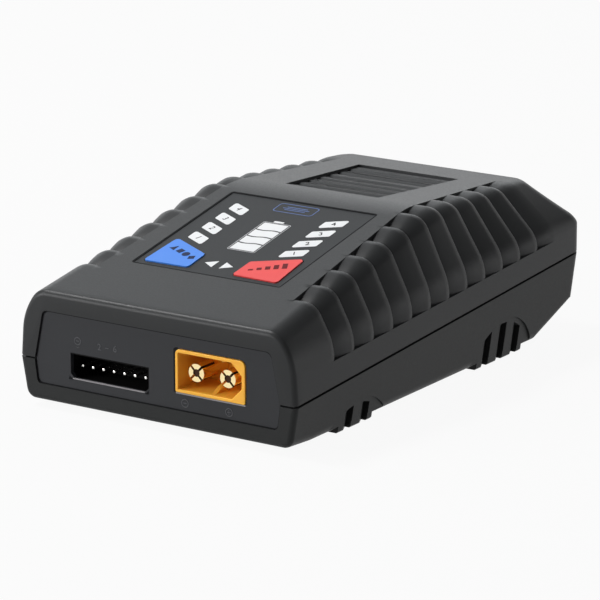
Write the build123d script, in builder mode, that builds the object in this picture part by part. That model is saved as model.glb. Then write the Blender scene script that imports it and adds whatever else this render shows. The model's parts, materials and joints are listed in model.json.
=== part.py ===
from build123d import *

"""Balance charger for model batteries.

Frame: +X to the right seen from the front, +Y to the rear, +Z up. The origin is at the centre of
the footprint, on the surface that the feet stand on. All sizes are in millimetres.
Distances called "distance" or "_at" are measured rearwards from the front face.
"""
import os
from math import atan2, cos, degrees, hypot, radians, sin, sqrt

os.makedirs("parts", exist_ok=True)

# ---------------------------------------------------------------- driving dimensions: casing
length = 106.2                 # front face to rear face
wall = 2.4                     # shell wall
foot_height = 0.85             # teeth of the feet below the floor of the casing
seam_front_height = 9.45       # parting line above the table, at the front face
seam_rear_height = 17.1        # and at the rear face
half_width_front = 32.25       # at the parting line
half_width_rear = 32.8
floor_half_width = 30.7        # where the drafted side would meet the floor
roof_front_height = 23.4       # sloping roof, at the front face
ridge_at = 55.8                # where the front roof and the rear roof meet
ridge_height = 34.85
roof_end_at = 100.8            # rear edge of the rear roof
roof_end_height = 32.05
rear_top_height = 23.5         # upper edge of the vertical rear face
rear_bottom_height = 7.15      # lower edge of the vertical rear face
rear_ramp_start_at = 90.9      # the floor climbs to the rear face from here
front_ramp_end_at = 8.0        # and falls from the front face to here
front_ramp_height = 0.55
ridge_round = 34.0             # roof ridge radius

# shoulder corners of a cross-section: (half width, height)
shoulder_low_front = (31.6, 18.15)
shoulder_low_ridge = (32.2, 21.75)
shoulder_low_rear = (32.75, 24.7)
shoulder_high_front_x = 28.2
shoulder_high_ridge_x = 25.9
shoulder_high_rear_x = 21.9
shoulder_low_round = 12.0      # from the front face to the ridge
shoulder_low_rear_round = 2.5  # at the rear face
shoulder_high_round = 4.5
floor_round = 2.2
front_edge_round = 1.0
rear_edge_round = 3.1
smallest_round = 0.3           # corners rounder than this stay round in the inner forms

# ---------------------------------------------------------------- shoulder grooves
groove_count = 12              # on each side
first_groove_at = 13.85
groove_pitch = 6.78
groove_depth = 1.35
groove_length = 6.0            # from the riser to where the floor has run out
crest_length = 0.8             # rounding of the rib ahead of the riser
crest_drop = 0.35
groove_above_seam = 5.2
groove_overrun = 0.12          # a groove cutter starts and ends this far outside the surface
riser_slope = 0.08
# shares of its length, and the shares of its depth that a groove still has there
groove_profile = ((1 / 3, 0.5), (2 / 3, 0.15))
groove_top_x_front = 22.9      # end wall on the roof, at the first groove
groove_top_x_taper = 0.05      # narrower by this much for each millimetre to the rear

# ---------------------------------------------------------------- parting line
seam_gap = 0.35
seam_gap_depth = 0.8
tongue_height = 1.2
tongue_clearance = 0.1

# ---------------------------------------------------------------- panels in the two end walls
panel_recess = 0.35            # face of a panel behind the face of the shells
panel_gap = 0.2                # all round, in the window of the shells
panel_flange = 0.7             # flange that holds the panel behind the end wall
panel_flange_thickness = 1.0
panel_flange_gap = 0.1
front_panel_corners = [(27.85, 4.9), (28.45, 9.45), (26.35, 19.35)]
front_panel_round = 1.0
rear_panel_corners = [(23.0, 9.3), (23.0, 21.3)]

# ---------------------------------------------------------------- balance port
balance_pin_count = 7
balance_pin_pitch = 2.5
balance_pin_size = 0.64
balance_pin_tip_at = 2.3
balance_port_x = -11.1
balance_port_z = 9.3
balance_port_width = 18.8
balance_port_height = 5.1
balance_port_chamfer = 0.9     # two lower corners
balance_port_flange = 0.9
balance_port_flange_thickness = 1.5
balance_pin_z = 9.0
balance_port_wall = 0.6
balance_port_rim_at = 0.9
balance_port_depth = 7.6       # cavity
balance_port_floor = 2.4
port_gap = 0.15                # a housing in its opening in a panel

# ---------------------------------------------------------------- battery connector
battery_x = 12.7
battery_z = 12.55
battery_width = 15.9
battery_height = 8.4
battery_round = 1.1
battery_wall = 1.0
battery_rim_at = 0.1
battery_depth = 9.0
battery_floor = 3.5
battery_chamfer = 2.2          # two cavity corners that key the plug
battery_pin_pitch = 7.2
battery_pin_radius = 1.75
battery_pin_bore_radius = 0.75
battery_pin_tip_at = 0.75
battery_pin_slot = 0.45
battery_pin_slot_length = 5.0
battery_flange = 0.9
battery_flange_thickness = 2.0

# ---------------------------------------------------------------- mains inlet
inlet_z = 15.3
inlet_width = 19.4
inlet_height = 10.2
inlet_flange = 0.9
inlet_flange_thickness = 2.0
inlet_round = 1.5
inlet_cavity_lobe = 4.0        # radius of the two lobes round the pins
inlet_cavity_waist = 2.9       # half height between the lobes
inlet_depth = 11.7
inlet_floor = 2.4
inlet_pin_pitch = 8.6
inlet_pin_radius = 1.2
inlet_pin_tip_at = 3.0         # behind the rim

# ---------------------------------------------------------------- label, keys and what lies under them
# Places on the label are (x, distance along the sloping roof from its front edge).
label_start_at = 16.97
label_end_at = 52.3
label_half_width = 17.35
label_round = 0.6
label_gap = 0.12
label_pocket_depth = 0.5
label_thickness = 0.4
key_corners = [(5.2, 18.8), (15.6, 18.6), (15.0, 29.4), (5.3, 24.9)]
key_round = 0.7
key_rise = 0.1                 # key above the roof
key_label_gap = 0.14
key_wall_gap = 0.3
key_flange = 0.9
key_flange_thickness = 0.8
key_flange_gap = 0.1
key_travel = 0.3
switch_at = (10.4, 21.9)       # centre of the right-hand switch
switch_size = 5.2
switch_height = 1.8
plunger_radius = 1.0
plunger_gap = 0.08
plunger_length = 1.6
plunger_room = 0.1             # left below the plunger when its key is down
control_board_depth = 5.6      # its upper face, below the roof
control_board_half_width = 17.0
control_board_start_at = 17.5
control_board_end_at = 53.5
control_board_thickness = 1.2
control_post_places = [(0, 20.5), (-14.5, 51.0), (14.5, 51.0)]
control_post_radius = 2.1

# charge windows: four a side, slanting up to the rear at their outer ends
window_count = 4
window_x = 11.3
window_first_at = 31.2
window_pitch = 4.77
window_width = 4.4
window_length = 2.9
window_slant = 2.1
gauge_x = 0.3
gauge_width = 6.5
gauge_start_at = 28.8
gauge_end_at = 42.2
gauge_bars = 4
light_wall_gap = 0.1
light_plate_thickness = 0.8
light_plate_end_at = 48.6
light_plate_key_gap = 1.15     # from a key, clear of its flange
led_width = 1.6
led_length = 0.8
led_height = 0.7

# ---------------------------------------------------------------- fan outlet, air inlet and fan
vent_start_at = 61.0
vent_end_at = 90.3
vent_half_width_front = 11.1
vent_half_width_rear = 12.2
vent_recess = 0.5
vent_slot_count = 7
vent_first_slot_at = 63.3
vent_slot_pitch = 4.07
vent_slot_width = 2.0
intake_slot_count = 6
intake_first_at = 62.0
intake_slot_pitch = 4.2
intake_slot_width = 2.0
intake_slot_length = 18.0
fan_at = 74.0
fan_size = 35.0
fan_height = 10.0
fan_top_z = 29.5
fan_round = 2.0
fan_screw_pitch = 29.0
fan_bore_radius = 16.4
fan_blade_tip = 15.4
fan_hub_radius = 8.5
fan_hub_wall = 1.0
fan_hub_gap = 0.7              # rotor above the floor plate and below the top of the frame
fan_blade_count = 7
fan_blade_thickness = 1.0
fan_blade_width = 7.0
fan_blade_pitch = 40           # degrees from the disc of the rotor
fan_floor = 1.4
fan_spoke_width = 2.4
fan_shaft_radius = 1.0
fan_shaft_gap = 0.05
fan_bearing_radius = 2.2
fan_stator_radius = 6.4
fan_stator_height = 4.6
fan_post_radius = 2.1

# ---------------------------------------------------------------- feet
foot_inner_x = 12.0
foot_edge_cut = 0.35           # cut corner along the outer lower edge of a foot
foot_blend_height = 4.5        # outer face of a foot runs into the side wall here
foot_blend = 0.05
foot_recess = 0.4              # arched field around a foot, in the side wall
foot_recess_margin = 1.05      # field beyond the arch in which the slots end
foot_arch = 12.3               # radius of that arch
foot_slot_width = 2.8
foot_slot_depth = 1.3          # a slot starts at the surface and is this deep at its rear end
foot_slot_pitch = 5.7
rear_foot_at = 76.85
rear_foot_run = 17.6
rear_foot_slots = 3
rear_foot_arch_z = -4.3        # height of the centre of the arch
front_foot_at = 23.1
front_foot_run = 11.8
front_foot_slots = 2
front_foot_arch_z = -7.6

# ---------------------------------------------------------------- screws, bosses and the main board
boss_embed = 0.9               # a boss or post goes this far into the wall it stands on
screw_gap = 0.08
pilot_room = 0.3               # hole beyond the tip of its screw
case_screw_radius = 1.3
case_screw_head_radius = 2.3
case_screw_head_height = 1.8
case_screw_below_seam = 5.0
case_screw_above_seam = 6.0
case_boss_x = 25.2
case_boss_places = (10.5, 95.5)
case_boss_radius = 3.2
small_screw_radius = 0.8
small_screw_head_radius = 1.6
small_screw_head_height = 1.2
small_screw_grip = 1.7         # thread in its post
cross_slot_depth = 0.6
cross_slot_width = 0.5
main_board_bottom_z = 4.8
main_board_thickness = 1.6
main_board_start_at = 4.2
main_board_end_at = 93.0
main_board_half_width = 27.0
main_board_waist_half_width = 21.4
main_board_front_waist = 12.0  # length of the narrow ends between the case bosses
main_board_rear_waist = 4.0
board_post_places = [(-23.5, 19.5), (23.5, 19.5), (-23.5, 57.0), (23.5, 57.0), (0, 88.5)]
board_post_radius = 2.4
tail_gap = 0.1                 # solder tail in its hole in the board
tail_below_board = 0.7

# ---------------------------------------------------------------- components on the main board
balance_tail_at = 12.4
battery_tail_at = 14.0
battery_tail_radius = 0.8
inlet_tail_at = 89.6
inlet_tail_radius = 0.7
transformer_x = -8.0
transformer_at = 45.5
core_width = 24.0
core_depth = 12.0
core_height = 17.0
core_leg = 6.0                 # centre leg, outer legs are two thirds of it
winding_width = 15.4
winding_depth = 21.0
winding_gap = 0.1
bulk_capacitor_x = 20.8
bulk_capacitor_at = 62.0
bulk_capacitor_radius = 6.0
bulk_capacitor_length = 25.0
small_capacitor_radius = 3.15
small_capacitor_height = 11.0
small_capacitor_at = 24.0
small_capacitor_xs = (-5.0, 2.5)
inductor_x = 16.0
inductor_at = 30.0
inductor_size = 12.0
inductor_height = 7.0
chip_x = -14.0
chip_at = 30.0
chip_size = 10.0
chip_height = 1.4
resistor_at = 17.5
resistor_width = 1.6
resistor_length = 3.2
resistor_height = 0.6
sink_x = 1.0
sink_at = 62.0
sink_width = 22.0
sink_length = 22.0
sink_base = 2.5
sink_height = 10.5
sink_fin_count = 6
sink_fin = 1.2
transistor_ats = (63.5, 74.5)
transistor_length = 9.0
transistor_thickness = 2.4
transistor_height = 11.0
rectifier_x = -23.5
rectifier_at = 60.0
rectifier_width = 4.0
rectifier_length = 12.0
rectifier_height = 10.0
choke_x = -19.5
choke_at = 79.5
choke_radius = 5.5
choke_hole_radius = 2.2
choke_height = 7.0
fuse_x = -15.0
fuse_at = 87.7
fuse_radius = 2.4
fuse_length = 12.0
link_x = 12.0
link_at = 44.0
link_pin_count = 4
link_pin_pitch = 2.0
link_pin_size = 0.5
link_socket_height = 8.5
link_socket_width = 9.0
link_socket_depth = 3.4
link_pin_insertion = 5.0


def mix(start, end, share):
    """The value that lies the given share of the way from start to end."""
    return start + (end - start) * share


front_y = -length / 2
floor_height = foot_height
seam_slope = (seam_rear_height - seam_front_height) / length
seam_angle = degrees(atan2(seam_slope, 1))
front_roof_slope = (ridge_height - roof_front_height) / ridge_at
front_roof_angle = degrees(atan2(front_roof_slope, 1))
rear_roof_slope = (ridge_height - roof_end_height) / (roof_end_at - ridge_at)


def cross_plane(distance):
    """Plane of a cross-section: its x is +X, its y is +Z, and it looks to the front."""
    return Plane(origin=(0, front_y + distance, 0), x_dir=(1, 0, 0), z_dir=(0, -1, 0))


seam_plane = Plane(
    origin=(0, front_y, seam_front_height),
    x_dir=(1, 0, 0),
    z_dir=(0, -sin(radians(seam_angle)), cos(radians(seam_angle))),
)
roof_plane = Plane(
    origin=(0, front_y, roof_front_height),
    x_dir=(1, 0, 0),
    z_dir=(0, -sin(radians(front_roof_angle)), cos(radians(front_roof_angle))),
)


def seam_height(distance):
    return seam_front_height + seam_slope * distance


def roof_height(distance):
    if distance < ridge_at:
        return roof_front_height + front_roof_slope * distance
    return ridge_height - rear_roof_slope * (distance - ridge_at)


def floor_level(distance):
    """Height of the underside, which climbs to the front face and to the rear face."""
    if distance < front_ramp_end_at:
        return floor_height + front_ramp_height * (1 - distance / front_ramp_end_at)
    if distance > rear_ramp_start_at:
        share = (distance - rear_ramp_start_at) / (length - rear_ramp_start_at)
        return mix(floor_height, rear_bottom_height, share)
    return floor_height


def seam_half_width(distance):
    return mix(half_width_front, half_width_rear, distance / length)


def side_x(distance, height):
    """Half width of the drafted side between the floor and the parting line."""
    share = (height - floor_height) / (seam_height(distance) - floor_height)
    return mix(floor_half_width, seam_half_width(distance), share)


def section_corners(distance):
    """Right-hand corners of the cross-section, from the floor up, as (half width, height)."""
    floor = (side_x(distance, floor_level(distance)), floor_level(distance))
    seam = (seam_half_width(distance), seam_height(distance))
    if distance < ridge_at:
        share = distance / ridge_at
        low_start, low_end = shoulder_low_front, shoulder_low_ridge
        high_x = mix(shoulder_high_front_x, shoulder_high_ridge_x, share)
    else:
        share = (distance - ridge_at) / (length - ridge_at)
        low_start, low_end = shoulder_low_ridge, shoulder_low_rear
        high_x = mix(shoulder_high_ridge_x, shoulder_high_rear_x, share)
    low = (mix(low_start[0], low_end[0], share), mix(low_start[1], low_end[1], share))
    return [floor, seam, low, (high_x, roof_height(distance))]


def low_round(distance):
    """Rounding of the low shoulder."""
    if distance < ridge_at:
        return shoulder_low_round
    share = (distance - ridge_at) / (length - ridge_at)
    return mix(shoulder_low_round, shoulder_low_rear_round, share)


def moved_inwards(corners, inset):
    """Corners of a convex outline, given anticlockwise, with each of its sides moved inwards."""
    moved = []
    for before, here, after in zip(corners[-1:] + corners[:-1], corners, corners[1:] + corners[:1]):
        first_x, first_z = here[0] - before[0], here[1] - before[1]
        second_x, second_z = after[0] - here[0], after[1] - here[1]
        first, second = hypot(first_x, first_z), hypot(second_x, second_z)
        first_x, first_z, second_x, second_z = (
            first_x / first, first_z / first, second_x / second, second_z / second,
        )
        turn = first_x * second_z - first_z * second_x
        along = inset * (1 - first_x * second_x - first_z * second_z) / turn
        moved.append((
            here[0] - first_z * inset - first_x * along,
            here[1] + first_x * inset - first_z * along,
        ))
    return moved


def casing_section(distance, inset):
    """Cross-section of the casing, moved inwards by inset."""
    right = section_corners(distance)
    left = [(-x, z) for x, z in reversed(right)]
    # rows of corners from the floor up: 0 floor, 1 parting line, 2 low shoulder, -1 roof
    corner_rounds = [(-1, shoulder_high_round), (2, low_round(distance)), (0, floor_round)]
    with BuildSketch(cross_plane(distance)) as sketch:
        with BuildLine():
            Polyline(*moved_inwards(right + left, inset), close=True)
        make_face()
        for row, radius in corner_rounds:
            if radius > inset + smallest_round:
                fillet(sketch.vertices().group_by(Axis.Y)[row], radius - inset)
    return sketch.sketch


def side_outline(inset):
    """Silhouette of the casing from the side, moved inwards by inset; it leaves the underside out."""
    below = floor_height - 2 * wall
    corners = [
        (0, below), (length, below), (length, rear_top_height), (roof_end_at, roof_end_height),
        (ridge_at, ridge_height), (0, roof_front_height),
    ]
    placed = [(front_y + distance, height) for distance, height in corners]
    with BuildSketch(Plane.YZ.offset(-half_width_rear - wall)) as sketch:
        with BuildLine():
            Polyline(*moved_inwards(placed, inset), close=True)
        make_face()
        fillet(sketch.vertices().sort_by(Axis.Y)[-1:], ridge_round - inset)
    return sketch.sketch


def rear_corner_cutter(inset):
    """What the rounding of the right-hand rear edge takes away, from the floor to the roof."""
    radius = rear_edge_round - inset
    reach = 2 * rear_edge_round
    low_x, low_z = shoulder_low_rear
    high_x = section_corners(roof_end_at)[-1][0]
    lean = (length - roof_end_at) / (roof_end_height - rear_top_height)
    slope = (low_x - high_x) / (roof_end_height - low_z)
    levels = [
        (0, side_x(length, 0), length),
        (seam_rear_height, half_width_rear, length),
        (rear_top_height, mix(half_width_rear, low_x, 0.5), length),
        (low_z, low_x, length - lean * (low_z - rear_top_height)),
        (roof_end_height + wall, high_x - slope * wall, roof_end_at - lean * wall),
    ]
    sketches = []
    for height, half_width, end_at in levels:
        corner_x, corner_y = half_width - inset, front_y + end_at - inset
        with BuildSketch(Plane.XY.offset(height)) as sketch:
            with Locations((corner_x - radius, corner_y - radius)):
                Rectangle(radius + reach, radius + reach, align=(Align.MIN, Align.MIN))
                Circle(radius, mode=Mode.SUBTRACT)
        sketches.append(sketch.sketch)
    return loft(sketches, ruled=True)


def casing_form(inset, front_rounded=False, rear_rounded=False):
    """Solid form of the closed casing, moved inwards by inset."""
    with BuildPart() as form:
        stations = (0, front_ramp_end_at, ridge_at, rear_ramp_start_at, length)
        loft([casing_section(distance, inset) for distance in stations], ruled=True)
        extrude(side_outline(inset), amount=2 * (half_width_rear + wall), mode=Mode.INTERSECT)
        if front_rounded:
            fillet(form.faces().sort_by(Axis.Y)[0].edges(), front_edge_round)
        if rear_rounded:
            cutter = rear_corner_cutter(inset)
            add([cutter, cutter.mirror(Plane.YZ)], mode=Mode.SUBTRACT)
    return form.part


def y_at(distance):
    return front_y + distance


def roof_level(depth):
    """Plane parallel to the sloping roof, the given depth below its surface."""
    return roof_plane.offset(-depth)


def seam_slab(bottom, top):
    """Slab parallel to the parting line, between two levels above it."""
    with BuildPart() as slab:
        with BuildSketch(seam_plane.offset(bottom)):
            with Locations((0, length / 2)):
                Rectangle(3 * half_width_rear, 2 * length)
        extrude(amount=top - bottom)
    return slab.part


def groove_section(distance, drop):
    """What a shoulder groove takes away at one cross-section, where its floor is drop deep."""
    right = section_corners(distance)
    left = [(-x, z) for x, z in reversed(right)]
    seam, low, high = moved_inwards(right + left, drop)[1:4]
    ledge_z = seam_height(distance) + groove_above_seam
    ledge_x = mix(seam[0], low[0], (ledge_z - seam[1]) / (low[1] - seam[1]))
    top_x = groove_top_x_front - groove_top_x_taper * (distance - first_groove_at)
    outer_x = half_width_rear + wall
    outer_z = ridge_height + wall
    corners = [
        (ledge_x, ledge_z), low, high, (top_x, high[1]),
        (top_x, outer_z), (outer_x, outer_z), (outer_x, ledge_z),
    ]
    with BuildSketch(cross_plane(distance)) as sketch:
        with BuildLine():
            Polyline(*corners, close=True)
        make_face()
        for corner, radius in ((high, shoulder_high_round), (low, low_round(distance))):
            near = sketch.vertices().sort_by_distance((corner[0], corner[1], 0))[0]
            fillet(near, radius - drop)
    return sketch.sketch


def groove_cutter(index):
    """Groove behind one rib of the right-hand shoulder: riser at its front, rising to the rear."""
    riser_at = first_groove_at + index * groove_pitch
    stations = [
        (-crest_length, -groove_overrun),
        (0, crest_drop),
        (riser_slope, groove_depth),
        *((groove_length * run, groove_depth * depth) for run, depth in groove_profile),
        (groove_length, -groove_overrun),
    ]
    return loft([groove_section(riser_at + ahead, drop) for ahead, drop in stations], ruled=True)


def cross_prism(corners, start_at, depth, rounding):
    """Prism through an end wall: a right-hand outline mirrored to the left, run rearwards."""
    left = [(-x, z) for x, z in reversed(corners)]
    with BuildPart() as prism:
        with BuildSketch(cross_plane(start_at)) as outline:
            with BuildLine():
                Polyline(*corners, *left, close=True)
            make_face()
            if rounding > 0:
                fillet(outline.vertices().group_by(Axis.Y)[0], rounding)
                fillet(outline.vertices().group_by(Axis.Y)[-1], rounding)
        extrude(amount=-depth)
    return prism.part


def outwards(corners, amount):
    """A panel outline made larger all round."""
    left = [(-x, z) for x, z in reversed(corners)]
    return moved_inwards(corners + left, -amount)[:len(corners)]


def box_cutter(x, distance, z, width, run, height, rounding=0):
    """Upright block centred on x, with its front at the given distance and centred on height z."""
    with BuildPart() as block:
        with BuildSketch(cross_plane(distance)) as outline:
            with Locations((x, z)):
                Rectangle(width, height)
            if rounding > 0:
                fillet(outline.vertices(), rounding)
        extrude(amount=-run)
    return block.part


def wall_cutter(start_at, start_depth, end_at, end_depth, centre, centre_z, radius):
    """Cut in the right-hand side wall between two distances, from one depth to another.

    Its upper end follows an arch with the given centre and radius.
    """
    sketches = []
    for height in (-foot_height, centre_z + radius + wall):
        start_x = side_x(start_at, height)
        end_x = side_x(end_at, height)
        with BuildSketch(Plane.XY.offset(height)) as sketch:
            with BuildLine():
                Polyline(
                    (start_x - start_depth, y_at(start_at)), (start_x + wall, y_at(start_at)),
                    (end_x + wall, y_at(end_at)), (end_x - end_depth, y_at(end_at)), close=True,
                )
            make_face()
        sketches.append(sketch.sketch)
    with BuildPart() as cutter:
        loft(sketches, ruled=True)
        with BuildSketch(Plane(origin=(0, y_at(centre), centre_z), x_dir=(0, 1, 0), z_dir=(1, 0, 0))) as arch:
            Circle(radius)
        extrude(arch.sketch, amount=length, mode=Mode.INTERSECT)
    return cutter.part


def foot_field(centre, centre_z):
    """Shallow arched field in the side wall around one right-hand foot."""
    radius = foot_arch + foot_recess_margin
    return wall_cutter(
        centre - radius, foot_recess, centre + radius, foot_recess, centre, centre_z, radius,
    )


def foot_slots(centre, count, centre_z):
    """Slots of one right-hand foot, up the side wall to the arch."""
    slots = []
    for index in range(count):
        end_at = centre + (index - (count - 1) / 2) * foot_slot_pitch + foot_slot_width / 2
        slots.append(wall_cutter(
            end_at - foot_slot_width, foot_recess, end_at, foot_recess + foot_slot_depth,
            centre, centre_z, foot_arch,
        ))
    return slots


def foot_block(centre, run):
    """Right-hand foot before its slots are cut: a bar below the floor that runs into the side wall."""
    sections = []
    for distance in (centre - run / 2, centre + run / 2):
        outer_x = side_x(distance, 0) - foot_recess
        blend_x = side_x(distance, foot_blend_height) - foot_recess - foot_blend
        corners = [
            (foot_inner_x, floor_height + wall / 2), (foot_inner_x, -foot_edge_cut),
            (outer_x - 2 * foot_edge_cut, -foot_edge_cut), (outer_x, foot_edge_cut),
            (blend_x, foot_blend_height), (blend_x - wall / 2, foot_blend_height),
            (outer_x - wall / 2, floor_height + wall / 2),
        ]
        with BuildSketch(cross_plane(distance)) as section:
            with BuildLine():
                Polyline(*corners, close=True)
            make_face()
        sections.append(section.sketch)
    with BuildPart() as block:
        loft(sections, ruled=True)
        split(bisect_by=Plane.XY, keep=Keep.TOP)
    return block.part


def mirrored(shapes):
    """The given right-hand shapes and their left-hand twins."""
    return list(shapes) + [shape.mirror(Plane.YZ) for shape in shapes]


# ================================================================ derived places
board_top_z = main_board_bottom_z + main_board_thickness
panel_back_at = wall + panel_flange_gap + panel_flange_thickness
key_top_depth = -key_rise
key_bottom_depth = wall + key_flange_gap + key_flange_thickness
switch_top_depth = control_board_depth - switch_height
fan_bottom_z = fan_top_z - fan_height
fan_centre = (0, y_at(fan_at))
over = 2 * wall                # a cutter runs this far past what it cuts


def upright(z):
    """Level plane at height z, with its local x and y along those of the part."""
    return Plane.XY.offset(z)


def standing_block(x, distance, z, width, run, height, rounding=0):
    """Block standing at height z, centred on x, with its front at the given distance."""
    with BuildPart() as block:
        with BuildSketch(upright(z)) as outline:
            with Locations((x, y_at(distance) + run / 2)):
                Rectangle(width, run)
            if rounding > 0:
                fillet(outline.vertices(), rounding)
        extrude(amount=height)
    return block.part


def standing_rod(x, distance, z, radius, height):
    """Round post, screw shank or bore with its lower end at height z."""
    with BuildPart() as rod:
        with BuildSketch(upright(z)):
            with Locations((x, y_at(distance))):
                Circle(radius)
        extrude(amount=height)
    return rod.part


def lying_rod(x, distance, z, radius, run):
    """Round rod that runs rearwards from the given distance."""
    with BuildPart() as rod:
        with BuildSketch(cross_plane(distance)):
            with Locations((x, z)):
                Circle(radius)
        extrude(amount=-run)
    return rod.part


def roof_prism(corners, upper_depth, lower_depth, rounding=0):
    """Prism square to the sloping roof, between two depths below its surface."""
    with BuildPart() as prism:
        with BuildSketch(roof_level(upper_depth)) as outline:
            with BuildLine():
                Polyline(*corners, close=True)
            make_face()
            if rounding > 0:
                fillet(outline.vertices(), rounding)
        extrude(amount=upper_depth - lower_depth)
    return prism.part


def roof_rod(x, along, upper_depth, lower_depth, radius):
    """Round rod square to the sloping roof, between two depths below its surface."""
    with BuildPart() as rod:
        with BuildSketch(roof_level(upper_depth)):
            with Locations((x, along)):
                Circle(radius)
        extrude(amount=upper_depth - lower_depth)
    return rod.part


def rectangle_corners(x, start_at, end_at, half_width):
    return [
        (x - half_width, start_at), (x + half_width, start_at),
        (x + half_width, end_at), (x - half_width, end_at),
    ]


def twin(corners):
    """The mirror image of a right-hand outline, still anticlockwise."""
    return [(-x, along) for x, along in reversed(corners)]


def window_corners(index, side, margin):
    """One charge window, made smaller by margin; side is 1 on the right and -1 on the left."""
    centre_at = window_first_at + index * window_pitch
    half = window_width / 2
    rise = window_slant / 2
    low = centre_at - window_length / 2
    high = centre_at + window_length / 2
    corners = [
        (window_x - half, low - rise), (window_x + half, low + rise),
        (window_x + half, high + rise), (window_x - half, high - rise),
    ]
    corners = moved_inwards(corners, margin)
    return corners if side > 0 else twin(corners)


def gauge_corners(margin):
    return rectangle_corners(
        gauge_x, gauge_start_at + margin, gauge_end_at - margin, gauge_width / 2 - margin
    )


def all_windows(margin):
    windows = [window_corners(index, side, margin) for side in (-1, 1) for index in range(window_count)]
    return windows + [gauge_corners(margin)]


def cross_slots(x, distance, z, radius, depth):
    """Cross recess for a screwdriver, cut up into a head whose face is at height z."""
    slots = []
    for width, run in ((radius, cross_slot_width), (cross_slot_width, radius)):
        slots.append(standing_block(x, distance - run / 2, z, width, run, depth))
    return slots


def headed_screw(x, distance, seat_z, radius, head_radius, head_height, tip_z):
    """Screw put in from below: its head hangs under the seat and its tip is at tip_z."""
    with BuildPart() as screw:
        add(standing_rod(x, distance, seat_z - head_height, head_radius, head_height))
        add(standing_rod(x, distance, seat_z, radius, tip_z - seat_z))
        add(cross_slots(x, distance, seat_z - head_height, head_radius, cross_slot_depth), mode=Mode.SUBTRACT)
    return screw.part


# ================================================================ casing
outer_form = casing_form(0, front_rounded=True, rear_rounded=True)
seam_gap_form = casing_form(seam_gap_depth, rear_rounded=True)
cavity_form = casing_form(wall)
tongue_outer_form = casing_form(wall / 2 + tongue_clearance)
tongue_recess_form = casing_form(wall / 2)
boss_limit_form = casing_form(wall - boss_embed)
front_window = cross_prism(outwards(front_panel_corners, panel_gap), -over, 2 * over, front_panel_round)
rear_window = cross_prism(outwards(rear_panel_corners, panel_gap), length - over, 2 * over, front_panel_round)

label_corners = rectangle_corners(0, label_start_at, label_end_at, label_half_width)
key_wall_corners = moved_inwards(key_corners, -key_wall_gap)
key_label_corners = moved_inwards(key_corners, -key_label_gap)
key_flange_corners = moved_inwards(key_corners, -key_flange)


def rear_roof_level(depth):
    """Plane parallel to the rear roof, the given depth below it, with its local y along the roof."""
    return Plane(
        origin=(0, y_at(ridge_at), ridge_height), x_dir=(1, 0, 0),
        z_dir=(0, rear_roof_rise, rear_roof_run),
    ).offset(-depth)


rear_roof_length = hypot(roof_end_at - ridge_at, ridge_height - roof_end_height)
rear_roof_rise = (ridge_height - roof_end_height) / rear_roof_length
rear_roof_run = (roof_end_at - ridge_at) / rear_roof_length


def on_rear_roof(distance):
    return (distance - ridge_at) / rear_roof_run


def vent_half_width(distance):
    share = (distance - vent_start_at) / (vent_end_at - vent_start_at)
    return mix(vent_half_width_front, vent_half_width_rear, share)


def vent_prism(start_at, end_at, depth):
    """Cutter for the fan outlet between two distances, down to a depth below the rear roof."""
    with BuildPart() as prism:
        with BuildSketch(rear_roof_level(depth)):
            with BuildLine():
                Polyline(
                    (-vent_half_width(start_at), on_rear_roof(start_at)),
                    (vent_half_width(start_at), on_rear_roof(start_at)),
                    (vent_half_width(end_at), on_rear_roof(end_at)),
                    (-vent_half_width(end_at), on_rear_roof(end_at)),
                    close=True,
                )
            make_face()
        extrude(amount=depth + over)
    return prism.part


vent_cutters = [vent_prism(vent_start_at, vent_end_at, vent_recess)]
for index in range(vent_slot_count):
    slot_at = vent_first_slot_at + index * vent_slot_pitch
    vent_cutters.append(vent_prism(slot_at - vent_slot_width / 2, slot_at + vent_slot_width / 2, wall + over))

# posts that hang from the roof, and the pilot holes of their screws
roof_posts = []
roof_pilots = []
for x, distance in [(x, distance) for x in (-case_boss_x, case_boss_x) for distance in case_boss_places]:
    roof_posts.append(standing_rod(x, distance, 0, case_boss_radius, ridge_height))
    roof_pilots.append(standing_rod(
        x, distance, 0, case_screw_radius + screw_gap,
        seam_height(distance) + case_screw_above_seam + pilot_room,
    ))
fan_screw_places = [
    (x, fan_at + ahead)
    for x in (-fan_screw_pitch / 2, fan_screw_pitch / 2)
    for ahead in (-fan_screw_pitch / 2, fan_screw_pitch / 2)
]
for x, distance in fan_screw_places:
    roof_posts.append(standing_rod(x, distance, fan_top_z, fan_post_radius, ridge_height))
    roof_pilots.append(standing_rod(
        x, distance, 0, small_screw_radius + screw_gap, fan_top_z + small_screw_grip + pilot_room,
    ))
for x, along in control_post_places:
    roof_posts.append(roof_rod(x, along, 0, control_board_depth, control_post_radius))
    roof_pilots.append(roof_rod(
        x, along, control_board_depth - small_screw_grip - pilot_room, control_board_depth + over,
        small_screw_radius + screw_gap,
    ))

with BuildPart() as roof_post_group:
    add(roof_posts)
    add(boss_limit_form, mode=Mode.INTERSECT)
    split(bisect_by=seam_plane, keep=Keep.TOP)

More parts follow.
